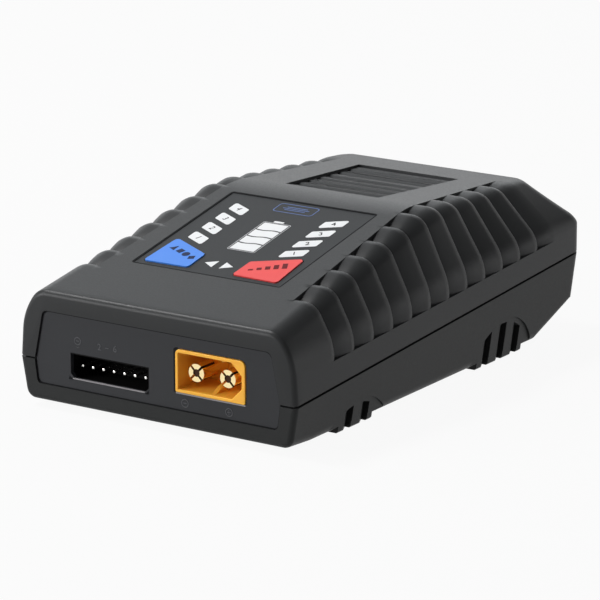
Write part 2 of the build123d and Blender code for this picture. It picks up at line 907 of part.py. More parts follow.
with BuildPart() as upper_shell:
    add(outer_form)
    split(bisect_by=seam_plane, keep=Keep.TOP)
    add(mirrored([groove_cutter(index) for index in range(groove_count)]), mode=Mode.SUBTRACT)
    add(cavity_form, mode=Mode.SUBTRACT)
    # recess for the tongue of the lower shell, and the gap seen along the parting line
    add(tongue_recess_form & seam_slab(-wall, tongue_height + tongue_clearance), mode=Mode.SUBTRACT)
    add(seam_slab(-wall, seam_gap) - seam_gap_form, mode=Mode.SUBTRACT)
    add(roof_post_group.part)
    add(roof_pilots, mode=Mode.SUBTRACT)
    add([front_window, rear_window], mode=Mode.SUBTRACT)
    # pocket for the label, and what passes through the roof under it
    add(roof_prism(label_corners, -wall, label_pocket_depth, label_round), mode=Mode.SUBTRACT)
    for corners in (key_wall_corners, twin(key_wall_corners)):
        add(roof_prism(corners, -wall, over, key_round), mode=Mode.SUBTRACT)
    for corners in all_windows(0):
        add(roof_prism(corners, -wall, wall + light_wall_gap), mode=Mode.SUBTRACT)
    add(vent_cutters, mode=Mode.SUBTRACT)
upper_shell.part.label = "upper_shell"
export_step(upper_shell.part, "parts/upper_shell.step")

# lower shell: posts and bosses on its floor, feet under it
floor_posts = []
floor_bores = []
for x, distance in [(x, distance) for x in (-case_boss_x, case_boss_x) for distance in case_boss_places]:
    seat_z = seam_height(distance) - case_screw_below_seam
    floor_posts.append(standing_rod(x, distance, 0, case_boss_radius, ridge_height))
    floor_bores.append(standing_rod(x, distance, 0, case_screw_radius + screw_gap, ridge_height))
    floor_bores.append(standing_rod(x, distance, 0, case_screw_head_radius + screw_gap, seat_z))
with BuildPart() as case_boss_group:
    add(floor_posts)
    add(seam_slab(-length, 0), mode=Mode.INTERSECT)
board_posts = [
    standing_rod(x, distance, 0, board_post_radius, main_board_bottom_z) for x, distance in board_post_places
]
board_pilots = [
    standing_rod(
        x, distance, main_board_bottom_z - small_screw_grip - pilot_room,
        small_screw_radius + screw_gap, over,
    )
    for x, distance in board_post_places
]
with BuildPart() as floor_post_group:
    add(case_boss_group.part)
    add(board_posts)
    add(boss_limit_form, mode=Mode.INTERSECT)

feet = (
    (front_foot_at, front_foot_run, front_foot_slots, front_foot_arch_z),
    (rear_foot_at, rear_foot_run, rear_foot_slots, rear_foot_arch_z),
)
with BuildPart() as tongue:
    add(tongue_outer_form)
    add(seam_slab(-wall, tongue_height), mode=Mode.INTERSECT)
    add(cavity_form, mode=Mode.SUBTRACT)

with BuildPart() as lower_shell:
    add(outer_form)
    split(bisect_by=seam_plane, keep=Keep.BOTTOM)
    for foot_at, foot_run, slot_count, arch_z in feet:
        add(mirrored([foot_field(foot_at, arch_z)]), mode=Mode.SUBTRACT)
        add(mirrored([foot_block(foot_at, foot_run)]))
        add(mirrored(foot_slots(foot_at, slot_count, arch_z)), mode=Mode.SUBTRACT)
    add(cavity_form, mode=Mode.SUBTRACT)
    add(tongue.part)
    add(floor_post_group.part)
    add(floor_bores + board_pilots, mode=Mode.SUBTRACT)
    add([front_window, rear_window], mode=Mode.SUBTRACT)
    with BuildSketch(upright(0)):
        for index in range(intake_slot_count):
            with Locations((0, y_at(intake_first_at + index * intake_slot_pitch))):
                SlotOverall(intake_slot_length, intake_slot_width)
    extrude(amount=foot_height + over, mode=Mode.SUBTRACT)
lower_shell.part.label = "lower_shell"
export_step(lower_shell.part, "parts/lower_shell.step")

# ================================================================ front panel and its two ports
balance_half = balance_port_width / 2
balance_low = balance_port_z - balance_port_height / 2
balance_high = balance_port_z + balance_port_height / 2


def balance_outline(margin):
    """Outline of the balance port, with its two lower corners cut; margin makes it smaller."""
    corners = [
        (balance_port_x - balance_half + balance_port_chamfer, balance_low),
        (balance_port_x + balance_half - balance_port_chamfer, balance_low),
        (balance_port_x + balance_half, balance_low + balance_port_chamfer),
        (balance_port_x + balance_half, balance_high),
        (balance_port_x - balance_half, balance_high),
        (balance_port_x - balance_half, balance_low + balance_port_chamfer),
    ]
    return moved_inwards(corners, margin)


def run_prism(corners, start_at, run):
    """Prism that runs rearwards from the given distance."""
    with BuildPart() as prism:
        with BuildSketch(cross_plane(start_at)):
            with BuildLine():
                Polyline(*corners, close=True)
            make_face()
        extrude(amount=-run)
    return prism.part


with BuildPart() as front_panel:
    add(cross_prism(front_panel_corners, panel_recess, panel_back_at - panel_recess, front_panel_round))
    add(cross_prism(
        outwards(front_panel_corners, panel_flange),
        wall + panel_flange_gap, panel_flange_thickness, front_panel_round,
    ))
    add(run_prism(balance_outline(-port_gap), 0, over), mode=Mode.SUBTRACT)
    add(box_cutter(
        battery_x, 0, battery_z, battery_width + 2 * port_gap, over, battery_height + 2 * port_gap,
        battery_round + port_gap,
    ), mode=Mode.SUBTRACT)
front_panel.part.label = "front_panel"
export_step(front_panel.part, "parts/front_panel.step")

balance_xs = [
    balance_port_x + (index - (balance_pin_count - 1) / 2) * balance_pin_pitch
    for index in range(balance_pin_count)
]
balance_port_run = balance_port_depth + balance_port_floor
with BuildPart() as balance_port_housing:
    add(run_prism(balance_outline(0), balance_port_rim_at, balance_port_run))
    with BuildSketch(cross_plane(panel_back_at)):
        with Locations((balance_port_x, balance_low)):
            Rectangle(
                balance_port_width + 2 * balance_port_flange, balance_port_height + balance_port_flange,
                align=(Align.CENTER, Align.MIN),
            )
    extrude(amount=-balance_port_flange_thickness)
    add(run_prism(
        balance_outline(balance_port_wall), balance_port_rim_at - over, balance_port_depth + over,
    ), mode=Mode.SUBTRACT)
    with BuildSketch(cross_plane(0)):
        for x in balance_xs:
            with Locations((x, balance_pin_z)):
                Rectangle(balance_pin_size, balance_pin_size)
    extrude(amount=-length / 2, mode=Mode.SUBTRACT)
balance_port_housing.part.label = "balance_port_housing"
export_step(balance_port_housing.part, "parts/balance_port_housing.step")

tail_bottom_z = main_board_bottom_z - tail_below_board
with BuildPart() as balance_pins:
    for x in balance_xs:
        add(box_cutter(
            x, balance_pin_tip_at, balance_pin_z, balance_pin_size,
            balance_tail_at + balance_pin_size / 2 - balance_pin_tip_at, balance_pin_size,
        ))
        add(standing_block(
            x, balance_tail_at - balance_pin_size / 2, tail_bottom_z, balance_pin_size, balance_pin_size,
            balance_pin_z - tail_bottom_z,
        ))
balance_pins.part.label = "balance_pins"
export_step(balance_pins.part, "parts/balance_pins.step")

battery_cavity_half = battery_width / 2 - battery_wall
battery_cavity_low = battery_z - battery_height / 2 + battery_wall
battery_cavity_high = battery_z + battery_height / 2 - battery_wall
battery_pin_xs = (battery_x - battery_pin_pitch / 2, battery_x + battery_pin_pitch / 2)
battery_back_at = battery_rim_at + battery_depth + battery_floor
with BuildPart() as battery_connector_housing:
    add(box_cutter(
        battery_x, battery_rim_at, battery_z, battery_width, battery_back_at - battery_rim_at,
        battery_height, battery_round,
    ))
    add(box_cutter(
        battery_x, panel_back_at, battery_z, battery_width + 2 * battery_flange, battery_flange_thickness,
        battery_height + 2 * battery_flange, battery_round,
    ))
    add(run_prism([
        (battery_x - battery_cavity_half, battery_cavity_low),
        (battery_x + battery_cavity_half - battery_chamfer, battery_cavity_low),
        (battery_x + battery_cavity_half, battery_cavity_low + battery_chamfer),
        (battery_x + battery_cavity_half, battery_cavity_high - battery_chamfer),
        (battery_x + battery_cavity_half - battery_chamfer, battery_cavity_high),
        (battery_x - battery_cavity_half, battery_cavity_high),
    ], battery_rim_at - over, battery_depth + over), mode=Mode.SUBTRACT)
    bores = [lying_rod(x, 0, battery_z, battery_pin_radius, length / 2) for x in battery_pin_xs]
    add(bores, mode=Mode.SUBTRACT)
battery_connector_housing.part.label = "battery_connector_housing"
export_step(battery_connector_housing.part, "parts/battery_connector_housing.step")

with BuildPart() as battery_pins:
    for x in battery_pin_xs:
        add(lying_rod(
            x, battery_pin_tip_at + battery_rim_at, battery_z, battery_pin_radius,
            battery_tail_at + battery_tail_radius - battery_pin_tip_at - battery_rim_at,
        ))
        add(standing_rod(
            x, battery_tail_at, tail_bottom_z, battery_tail_radius, battery_z - tail_bottom_z,
        ))
    # hollow tips, split in four
    for x in battery_pin_xs:
        add(lying_rod(x, 0, battery_z, battery_pin_bore_radius, battery_pin_slot_length), mode=Mode.SUBTRACT)
        for width, height in (
            (battery_pin_slot, 2 * battery_pin_radius), (2 * battery_pin_radius, battery_pin_slot),
        ):
            add(box_cutter(
                x, 0, battery_z, width, battery_pin_slot_length, height,
            ).rotate(Axis((x, 0, battery_z), (0, 1, 0)), 45), mode=Mode.SUBTRACT)
battery_pins.part.label = "battery_pins"
export_step(battery_pins.part, "parts/battery_pins.step")

# ================================================================ rear panel and mains inlet
rear_panel_face_at = length - panel_recess
rear_flange_at = length - wall - panel_flange_gap - panel_flange_thickness
with BuildPart() as rear_panel:
    add(cross_prism(
        rear_panel_corners, rear_flange_at, rear_panel_face_at - rear_flange_at, front_panel_round,
    ))
    add(cross_prism(
        outwards(rear_panel_corners, panel_flange), rear_flange_at, panel_flange_thickness, front_panel_round,
    ))
    add(box_cutter(
        0, rear_flange_at - wall, inlet_z, inlet_width + 2 * port_gap, over + wall,
        inlet_height + 2 * port_gap, inlet_round + port_gap,
    ), mode=Mode.SUBTRACT)
rear_panel.part.label = "rear_panel"
export_step(rear_panel.part, "parts/rear_panel.step")

inlet_run = inlet_depth + inlet_floor
inlet_front_at = rear_panel_face_at - inlet_run
inlet_xs = (-inlet_pin_pitch / 2, inlet_pin_pitch / 2)
with BuildPart() as mains_inlet:
    add(box_cutter(0, inlet_front_at, inlet_z, inlet_width, inlet_run, inlet_height, inlet_round))
    add(box_cutter(
        0, rear_flange_at - inlet_flange_thickness, inlet_z, inlet_width + 2 * inlet_flange,
        inlet_flange_thickness, inlet_height + 2 * inlet_flange, inlet_round,
    ))
    # two lobes and the waist between them
    add([
        lying_rod(x, inlet_front_at + inlet_floor, inlet_z, inlet_cavity_lobe, inlet_depth + wall)
        for x in inlet_xs
    ], mode=Mode.SUBTRACT)
    add(box_cutter(
        0, inlet_front_at + inlet_floor, inlet_z, inlet_pin_pitch, inlet_depth + wall, 2 * inlet_cavity_waist,
    ), mode=Mode.SUBTRACT)
    add([lying_rod(x, 0, inlet_z, inlet_pin_radius, length) for x in inlet_xs], mode=Mode.SUBTRACT)
mains_inlet.part.label = "mains_inlet"
export_step(mains_inlet.part, "parts/mains_inlet.step")

with BuildPart() as inlet_pins:
    for x in inlet_xs:
        add(lying_rod(
            x, inlet_tail_at - inlet_tail_radius, inlet_z, inlet_pin_radius,
            rear_panel_face_at - inlet_pin_tip_at - inlet_tail_at + inlet_tail_radius,
        ))
        add(standing_rod(x, inlet_tail_at, tail_bottom_z, inlet_tail_radius, inlet_z - tail_bottom_z))
inlet_pins.part.label = "inlet_pins"
export_step(inlet_pins.part, "parts/inlet_pins.step")

# ================================================================ label, keys and control board
with BuildPart() as label_overlay:
    add(roof_prism(
        moved_inwards(label_corners, label_gap),
        label_pocket_depth - label_thickness, label_pocket_depth, label_round,
    ))
    for corners in (key_label_corners, twin(key_label_corners)):
        add(roof_prism(corners, -wall, wall, key_round), mode=Mode.SUBTRACT)
label_overlay.part.label = "label_overlay"
export_step(label_overlay.part, "parts/label_overlay.step")


def key_cap(corners, flange_corners):
    """Key: its cap through the label and the roof, and the flange that keeps it in."""
    with BuildPart() as key:
        add(roof_prism(corners, key_top_depth, key_bottom_depth, key_round))
        add(roof_prism(flange_corners, wall + key_flange_gap, key_bottom_depth, key_round))
    return key.part


def switch_body(side):
    with BuildPart() as body:
        x, along = side * switch_at[0], switch_at[1]
        add(roof_prism(
            rectangle_corners(x, along - switch_size / 2, along + switch_size / 2, switch_size / 2),
            switch_top_depth, control_board_depth,
        ))
        add(roof_rod(
            x, along, 0, key_bottom_depth + plunger_length + key_travel + plunger_room,
            plunger_radius + plunger_gap,
        ), mode=Mode.SUBTRACT)
    return body.part


def switch_plunger(side):
    return roof_rod(
        side * switch_at[0], switch_at[1],
        key_bottom_depth, key_bottom_depth + plunger_length, plunger_radius,
    )


with BuildPart() as mode_key:
    add(key_cap(twin(key_corners), twin(key_flange_corners)))
mode_key.part.label = "mode_key"
export_step(mode_key.part, "parts/mode_key.step")

with BuildPart() as current_key:
    add(key_cap(key_corners, key_flange_corners))
current_key.part.label = "current_key"
export_step(current_key.part, "parts/current_key.step")

with BuildPart() as mode_switch_plunger:
    add(switch_plunger(-1))
mode_switch_plunger.part.label = "mode_switch_plunger"
export_step(mode_switch_plunger.part, "parts/mode_switch_plunger.step")

with BuildPart() as current_switch_plunger:
    add(switch_plunger(1))
current_switch_plunger.part.label = "current_switch_plunger"
export_step(current_switch_plunger.part, "parts/current_switch_plunger.step")

with BuildPart() as tact_switches:
    for side in (-1, 1):
        add(switch_body(side))
tact_switches.part.label = "tact_switches"
export_step(tact_switches.part, "parts/tact_switches.step")

with BuildPart() as light_guide:
    near_key = moved_inwards(key_corners, -light_plate_key_gap)
    outer_x, outer_along = near_key[2]
    inner_x, inner_along = near_key[3]
    add(roof_prism([
        (-inner_x, inner_along), (inner_x, inner_along), (outer_x, outer_along),
        (outer_x, light_plate_end_at), (-outer_x, light_plate_end_at), (-outer_x, outer_along),
    ], wall, wall + light_plate_thickness))
    for corners in all_windows(light_wall_gap):
        add(roof_prism(corners, label_pocket_depth, wall))
light_guide.part.label = "light_guide"
export_step(light_guide.part, "parts/light_guide.step")

link_xs = [link_x + (index - (link_pin_count - 1) / 2) * link_pin_pitch for index in range(link_pin_count)]
control_board_bottom_depth = control_board_depth + control_board_thickness
with BuildPart() as control_board:
    add(roof_prism(
        rectangle_corners(0, control_board_start_at, control_board_end_at, control_board_half_width),
        control_board_depth, control_board_bottom_depth, label_round,
    ))
    add([
        roof_rod(x, along, 0, over + control_board_bottom_depth, small_screw_radius + screw_gap)
        for x, along in control_post_places
    ], mode=Mode.SUBTRACT)
control_board.part.label = "control_board"
export_step(control_board.part, "parts/control_board.step")

with BuildPart() as control_board_screws:
    for x, along in control_post_places:
        add(roof_rod(
            x, along, control_board_depth - small_screw_grip, control_board_bottom_depth, small_screw_radius,
        ))
        add(roof_rod(
            x, along, control_board_bottom_depth, control_board_bottom_depth + small_screw_head_height,
            small_screw_head_radius,
        ))
control_board_screws.part.label = "control_board_screws"
export_step(control_board_screws.part, "parts/control_board_screws.step")

led_places = [
    (side * window_x, window_first_at + index * window_pitch)
    for side in (-1, 1) for index in range(window_count)
]
gauge_bar_pitch = (gauge_end_at - gauge_start_at) / gauge_bars
led_places += [(gauge_x, gauge_start_at + (index + 0.5) * gauge_bar_pitch) for index in range(gauge_bars)]
with BuildPart() as indicator_leds:
    for x, along in led_places:
        add(roof_prism(
            rectangle_corners(x, along - led_length / 2, along + led_length / 2, led_width / 2),
            control_board_depth - led_height, control_board_depth,
        ))
indicator_leds.part.label = "indicator_leds"
export_step(indicator_leds.part, "parts/indicator_leds.step")

# ================================================================ main board
with BuildPart() as main_board:
    board_run = main_board_end_at - main_board_start_at
    add(standing_block(
        0, main_board_start_at, main_board_bottom_z,
        2 * main_board_waist_half_width, board_run, main_board_thickness,
    ))
    add(standing_block(
        0, main_board_start_at + main_board_front_waist, main_board_bottom_z, 2 * main_board_half_width,
        board_run - main_board_front_waist - main_board_rear_waist, main_board_thickness,
    ))
    add([
        standing_rod(x, distance, 0, small_screw_radius + screw_gap, ridge_height)
        for x, distance in board_post_places
    ], mode=Mode.SUBTRACT)
    add([
        standing_rod(x, balance_tail_at, 0, balance_pin_size / sqrt(2) + tail_gap, ridge_height)
        for x in balance_xs
    ], mode=Mode.SUBTRACT)
    add([
        standing_rod(x, battery_tail_at, 0, battery_tail_radius + tail_gap, ridge_height)
        for x in battery_pin_xs
    ], mode=Mode.SUBTRACT)
    add([
        standing_rod(x, inlet_tail_at, 0, inlet_tail_radius + tail_gap, ridge_height) for x in inlet_xs
    ], mode=Mode.SUBTRACT)
main_board.part.label = "main_board"
export_step(main_board.part, "parts/main_board.step")


def driven_down(x, distance, seat_z, tip_z):
    """Small screw put in from above: its head stands on the seat."""
    with BuildPart() as screw:
        add(standing_rod(x, distance, tip_z, small_screw_radius, seat_z - tip_z))
        add(standing_rod(x, distance, seat_z, small_screw_head_radius, small_screw_head_height))
    return screw.part


with BuildPart() as main_board_screws:
    for x, distance in board_post_places:
        add(driven_down(x, distance, board_top_z, main_board_bottom_z - small_screw_grip))
main_board_screws.part.label = "main_board_screws"
export_step(main_board_screws.part, "parts/main_board_screws.step")

with BuildPart() as case_screws:
    for x in (-case_boss_x, case_boss_x):
        for distance in case_boss_places:
            add(headed_screw(
                x, distance, seam_height(distance) - case_screw_below_seam, case_screw_radius,
                case_screw_head_radius, case_screw_head_height, seam_height(distance) + case_screw_above_seam,
            ))
case_screws.part.label = "case_screws"
export_step(case_screws.part, "parts/case_screws.step")

with BuildPart() as transformer_core:
    yoke = core_leg * 2 / 3
    core_start = transformer_at - core_depth / 2
    window = (core_width - 2 * yoke - core_leg) / 2
    add(standing_block(transformer_x, core_start, board_top_z, core_width, core_depth, core_height))
    for side in (-1, 1):
        add(standing_block(
            transformer_x + side * (core_leg + window) / 2, core_start - wall, board_top_z + yoke,
            window, core_depth + over, core_height - 2 * yoke,
        ), mode=Mode.SUBTRACT)
transformer_core.part.label = "transformer_core"
export_step(transformer_core.part, "parts/transformer_core.step")

with BuildPart() as transformer_winding:
    winding_z = board_top_z + yoke + winding_gap
    winding_height = core_height - 2 * yoke - 2 * winding_gap
    add(standing_block(
        transformer_x, transformer_at - winding_depth / 2, winding_z,
        winding_width, winding_depth, winding_height,
    ))
    fillet(transformer_winding.edges().filter_by(Axis.Z), (winding_depth - core_depth) / 4)
    add(standing_block(
        transformer_x, core_start - winding_gap, 0, core_leg + 2 * winding_gap,
        core_depth + 2 * winding_gap, ridge_height,
    ), mode=Mode.SUBTRACT)
transformer_winding.part.label = "transformer_winding"
export_step(transformer_winding.part, "parts/transformer_winding.step")

with BuildPart() as bulk_capacitor:
    add(lying_rod(
        bulk_capacitor_x, bulk_capacitor_at, board_top_z + bulk_capacitor_radius, bulk_capacitor_radius,
        bulk_capacitor_length,
    ))
bulk_capacitor.part.label = "bulk_capacitor"
export_step(bulk_capacitor.part, "parts/bulk_capacitor.step")

with BuildPart() as output_capacitors:
    for x in small_capacitor_xs:
        add(standing_rod(x, small_capacitor_at, board_top_z, small_capacitor_radius, small_capacitor_height))
output_capacitors.part.label = "output_capacitors"
export_step(output_capacitors.part, "parts/output_capacitors.step")

with BuildPart() as output_inductor:
    add(standing_block(
        inductor_x, inductor_at - inductor_size / 2, board_top_z,
        inductor_size, inductor_size, inductor_height,
    ))
    chamfer(output_inductor.edges().filter_by(Axis.Z), inductor_size / 6)
output_inductor.part.label = "output_inductor"
export_step(output_inductor.part, "parts/output_inductor.step")

with BuildPart() as controller_chip:
    add(standing_block(chip_x, chip_at - chip_size / 2, board_top_z, chip_size, chip_size, chip_height))
controller_chip.part.label = "controller_chip"
export_step(controller_chip.part, "parts/controller_chip.step")

with BuildPart() as balance_resistors:
    for left, right in zip(balance_xs, balance_xs[1:]):
        add(standing_block(
            (left + right) / 2, resistor_at, board_top_z, resistor_width, resistor_length, resistor_height,
        ))
balance_resistors.part.label = "balance_resistors"
export_step(balance_resistors.part, "parts/balance_resistors.step")

with BuildPart() as heat_sink:
    add(standing_block(sink_x, sink_at, board_top_z, sink_width, sink_length, sink_base))
    fin_pitch = (sink_width - sink_fin) / (sink_fin_count - 1)
    for index in range(sink_fin_count):
        fin_x = sink_x + (index - (sink_fin_count - 1) / 2) * fin_pitch
        add(standing_block(fin_x, sink_at, board_top_z, sink_fin, sink_length, sink_height))
heat_sink.part.label = "heat_sink"
export_step(heat_sink.part, "parts/heat_sink.step")

with BuildPart() as power_transistors:
    for distance in transistor_ats:
        add(standing_block(
            sink_x + (sink_width + transistor_thickness) / 2, distance, board_top_z,
            transistor_thickness, transistor_length, transistor_height,
        ))
power_transistors.part.label = "power_transistors"
export_step(power_transistors.part, "parts/power_transistors.step")

with BuildPart() as rectifier_bridge:
    add(standing_block(
        rectifier_x, rectifier_at, board_top_z, rectifier_width, rectifier_length, rectifier_height,
    ))
rectifier_bridge.part.label = "rectifier_bridge"
export_step(rectifier_bridge.part, "parts/rectifier_bridge.step")

with BuildPart() as mains_choke:
    with BuildSketch(upright(board_top_z)):
        with Locations((choke_x, y_at(choke_at))):
            Circle(choke_radius)
            Circle(choke_hole_radius, mode=Mode.SUBTRACT)
    extrude(amount=choke_height)
    fillet(mains_choke.edges().group_by(Axis.Z)[-1], (choke_radius - choke_hole_radius) / 3)
mains_choke.part.label = "mains_choke"
export_step(mains_choke.part, "parts/mains_choke.step")

with BuildPart() as mains_fuse:
    with BuildSketch(Plane(
        origin=(fuse_x - fuse_length / 2, y_at(fuse_at), board_top_z + fuse_radius),
        x_dir=(0, 1, 0), z_dir=(1, 0, 0),
    )):
        Circle(fuse_radius)
    extrude(amount=fuse_length)
mains_fuse.part.label = "mains_fuse"
export_step(mains_fuse.part, "parts/mains_fuse.step")

with BuildPart() as board_link_socket:
    add(standing_block(
        link_x, link_at - link_socket_depth / 2, board_top_z, link_socket_width, link_socket_depth,
        link_socket_height,
    ))
    add([
        standing_block(
            x, link_at - link_pin_size / 2 - tail_gap,
            board_top_z + link_socket_height - link_pin_insertion - tail_gap,
            link_pin_size + 2 * tail_gap, link_pin_size + 2 * tail_gap, over + link_pin_insertion,
        )
        for x in link_xs
    ], mode=Mode.SUBTRACT)
board_link_socket.part.label = "board_link_socket"
export_step(board_link_socket.part, "parts/board_link_socket.step")

with BuildPart() as board_link_pins:
    for x in link_xs:
        add(standing_block(
            x, link_at - link_pin_size / 2, board_top_z + link_socket_height - link_pin_insertion,
            link_pin_size, link_pin_size, ridge_height,
        ))
    split(bisect_by=roof_level(control_board_bottom_depth), keep=Keep.BOTTOM)
board_link_pins.part.label = "board_link_pins"
export_step(board_link_pins.part, "parts/board_link_pins.step")

# ================================================================ fan
with BuildPart() as fan_frame:
    with BuildSketch(upright(fan_bottom_z)) as outline:
        with Locations(fan_centre):
            Rectangle(fan_size, fan_size)
        fillet(outline.vertices(), fan_round)
        with Locations(fan_centre):
            Circle(fan_bore_radius, mode=Mode.SUBTRACT)
    extrude(amount=fan_height)
    # disc that carries the motor, on four spokes
    with BuildSketch(upright(fan_bottom_z)):
        with Locations(fan_centre):
            Circle(fan_hub_radius)
            Rectangle(2 * fan_bore_radius + fan_spoke_width, fan_spoke_width)
            Rectangle(fan_spoke_width, 2 * fan_bore_radius + fan_spoke_width)
    extrude(amount=fan_floor)
    for x, distance in fan_screw_places:
        add(standing_rod(x, distance, 0, small_screw_radius + screw_gap, ridge_height), mode=Mode.SUBTRACT)
fan_frame.part.label = "fan_frame"
export_step(fan_frame.part, "parts/fan_frame.step")

rotor_bottom_z = fan_bottom_z + fan_floor + fan_hub_gap
rotor_top_z = fan_top_z - fan_hub_gap
stator_bottom_z = fan_bottom_z + fan_floor
stator_top_z = stator_bottom_z + fan_hub_gap + fan_stator_height
with BuildPart() as fan_bearing:
    add(standing_rod(0, fan_at, stator_bottom_z, fan_bearing_radius, stator_top_z - stator_bottom_z))
    add(standing_rod(
        0, fan_at, stator_bottom_z + fan_hub_gap / 2, fan_shaft_radius + fan_shaft_gap, fan_height,
    ), mode=Mode.SUBTRACT)
fan_bearing.part.label = "fan_bearing"
export_step(fan_bearing.part, "parts/fan_bearing.step")

with BuildPart() as fan_stator:
    add(standing_rod(0, fan_at, rotor_bottom_z, fan_stator_radius, stator_top_z - rotor_bottom_z))
    add(standing_rod(0, fan_at, 0, fan_bearing_radius, ridge_height), mode=Mode.SUBTRACT)
fan_stator.part.label = "fan_stator"
export_step(fan_stator.part, "parts/fan_stator.step")

with BuildPart() as fan_blades:
    for index in range(fan_blade_count):
        turn = radians(360 * index / fan_blade_count)
        outward = (cos(turn), sin(turn), 0)
        start = fan_hub_radius - fan_hub_wall / 2
        middle_z = (rotor_bottom_z + rotor_top_z) / 2
        with BuildSketch(Plane(
            origin=(start * cos(turn), fan_centre[1] + start * sin(turn), middle_z),
            x_dir=(-sin(turn), cos(turn), 0), z_dir=outward,
        )):
            Rectangle(fan_blade_width, fan_blade_thickness, rotation=fan_blade_pitch)
        extrude(amount=fan_blade_tip - start)

with BuildPart() as fan_impeller:
    add(standing_rod(0, fan_at, rotor_bottom_z, fan_hub_radius, rotor_top_z - rotor_bottom_z))
    add(standing_rod(
        0, fan_at, 0, fan_hub_radius - fan_hub_wall, rotor_top_z - fan_hub_wall,
    ), mode=Mode.SUBTRACT)
    add(fan_blades.part)
    add(standing_rod(0, fan_at, rotor_bottom_z, fan_shaft_radius, rotor_top_z - rotor_bottom_z))
fan_impeller.part.label = "fan_impeller"
export_step(fan_impeller.part, "parts/fan_impeller.step")

with BuildPart() as fan_screws:
    for x, distance in fan_screw_places:
        add(headed_screw(
            x, distance, fan_bottom_z, small_screw_radius, small_screw_head_radius, small_screw_head_height,
            fan_top_z + small_screw_grip,
        ))
fan_screws.part.label = "fan_screws"
export_step(fan_screws.part, "parts/fan_screws.step")
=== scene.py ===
import json
import math

import bmesh
import bpy
from mathutils import Matrix, Vector


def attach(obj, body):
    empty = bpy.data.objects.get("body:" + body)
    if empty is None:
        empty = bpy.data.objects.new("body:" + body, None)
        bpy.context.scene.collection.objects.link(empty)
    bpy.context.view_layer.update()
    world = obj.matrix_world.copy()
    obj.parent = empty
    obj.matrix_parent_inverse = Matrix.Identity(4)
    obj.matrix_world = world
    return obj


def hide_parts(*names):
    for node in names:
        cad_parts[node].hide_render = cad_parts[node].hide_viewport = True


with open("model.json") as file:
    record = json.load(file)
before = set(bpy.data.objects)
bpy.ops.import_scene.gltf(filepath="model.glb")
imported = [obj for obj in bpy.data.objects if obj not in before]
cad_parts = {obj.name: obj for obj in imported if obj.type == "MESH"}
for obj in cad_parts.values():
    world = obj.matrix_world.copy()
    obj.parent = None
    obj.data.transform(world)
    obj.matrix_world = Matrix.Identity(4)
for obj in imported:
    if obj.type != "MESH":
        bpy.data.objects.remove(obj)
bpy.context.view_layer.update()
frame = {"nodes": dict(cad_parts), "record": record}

# ---------------------------------- sizes of the casing
# In millimetres. d is the distance from the front end, x runs from the middle to the right and z
# up from the floor.
MM = 1000  # millimetres in a metre
LENGTH = 106.2
WALL = 2.4
SEAM = (9.45, 17.1)  # height of the parting line, at the front and at the rear
HALF = (32.25, 32.8)  # half width at the parting line, at the front and at the rear
SEAM_GAP, SEAM_GAP_DEPTH = 0.35, 0.8
SEAM_EDGE, SEAM_CHAMFER = 0.15, 0.12  # the broken edge over the gap
ROOF_FRONT = 23.4  # height of the roof at the front
RIDGE_AT, RIDGE_Z, RIDGE_ROUND = 55.8, 34.85, 34.0
ROOF_END_AT, ROOF_END_Z = 100.8, 32.05
REAR_TOP_Z = 23.5  # height at which the rear bevel meets the end face
BEVEL_SOFT, BEVEL_SOFT_FROM = 1.1, 4  # the soft corner over the rear bevel
# low shoulder (x, z) and high shoulder (x), at the front, at the ridge and at the rear
LOW_FRONT, LOW_RIDGE, LOW_REAR = (31.6, 18.15), (32.2, 21.75), (32.75, 24.7)
HIGH_X = (28.2, 25.9, 21.9)
LOW_ROUND, LOW_ROUND_REAR = 12.0, 2.5
HIGH_ROUND, HIGH_ROUND_REAR = 4.5, 1.5
ROUND_CHANGE = 1.6  # either side of the roof's end, where HIGH_ROUND changes
FRONT_ROUND, REAR_ROUND = 1.0, 3.1  # front edges, and upright corners at the rear
REAR_CORNER = 1.4  # least drop from the high shoulder to the low one
GROOVES, GROOVE_AT, GROOVE_PITCH = 12, 13.85, 6.78
GROOVE_DEPTH, GROOVE_LENGTH, GROOVE_CURVE = 1.35, 6.0, 1.9
CREST_LENGTH, CREST_DROP, CREST_ROUND, CREST_GAIN = 1.8, 0.42, 0.98, 1.16
RISER_LENGTH = 0.1
LEDGE_ABOVE_SEAM = 5.2  # where the grooves start, above the parting line
END_WALL_X, END_WALL_TAPER = 22.9, 0.05  # x where they end, and how much less for each mm of d
END_WALL = 0.05  # thickness over which they reach their depth at either end
INNER_ROUND = 0.4  # least rounding of the hollow's shoulders
INNER_BELOW = 2  # how far the hollow reaches below the parting line
EDGE_BEVEL = 0.12  # of the connector and of its pins

ROOF_SLOPE = (RIDGE_Z - ROOF_FRONT) / RIDGE_AT
ROOF_COS = 1 / math.hypot(1, ROOF_SLOPE)
ROOF_SIN = ROOF_SLOPE * ROOF_COS
REAR_SLOPE = (RIDGE_Z - ROOF_END_Z) / (ROOF_END_AT - RIDGE_AT)
REAR_COS = 1 / math.hypot(1, REAR_SLOPE)

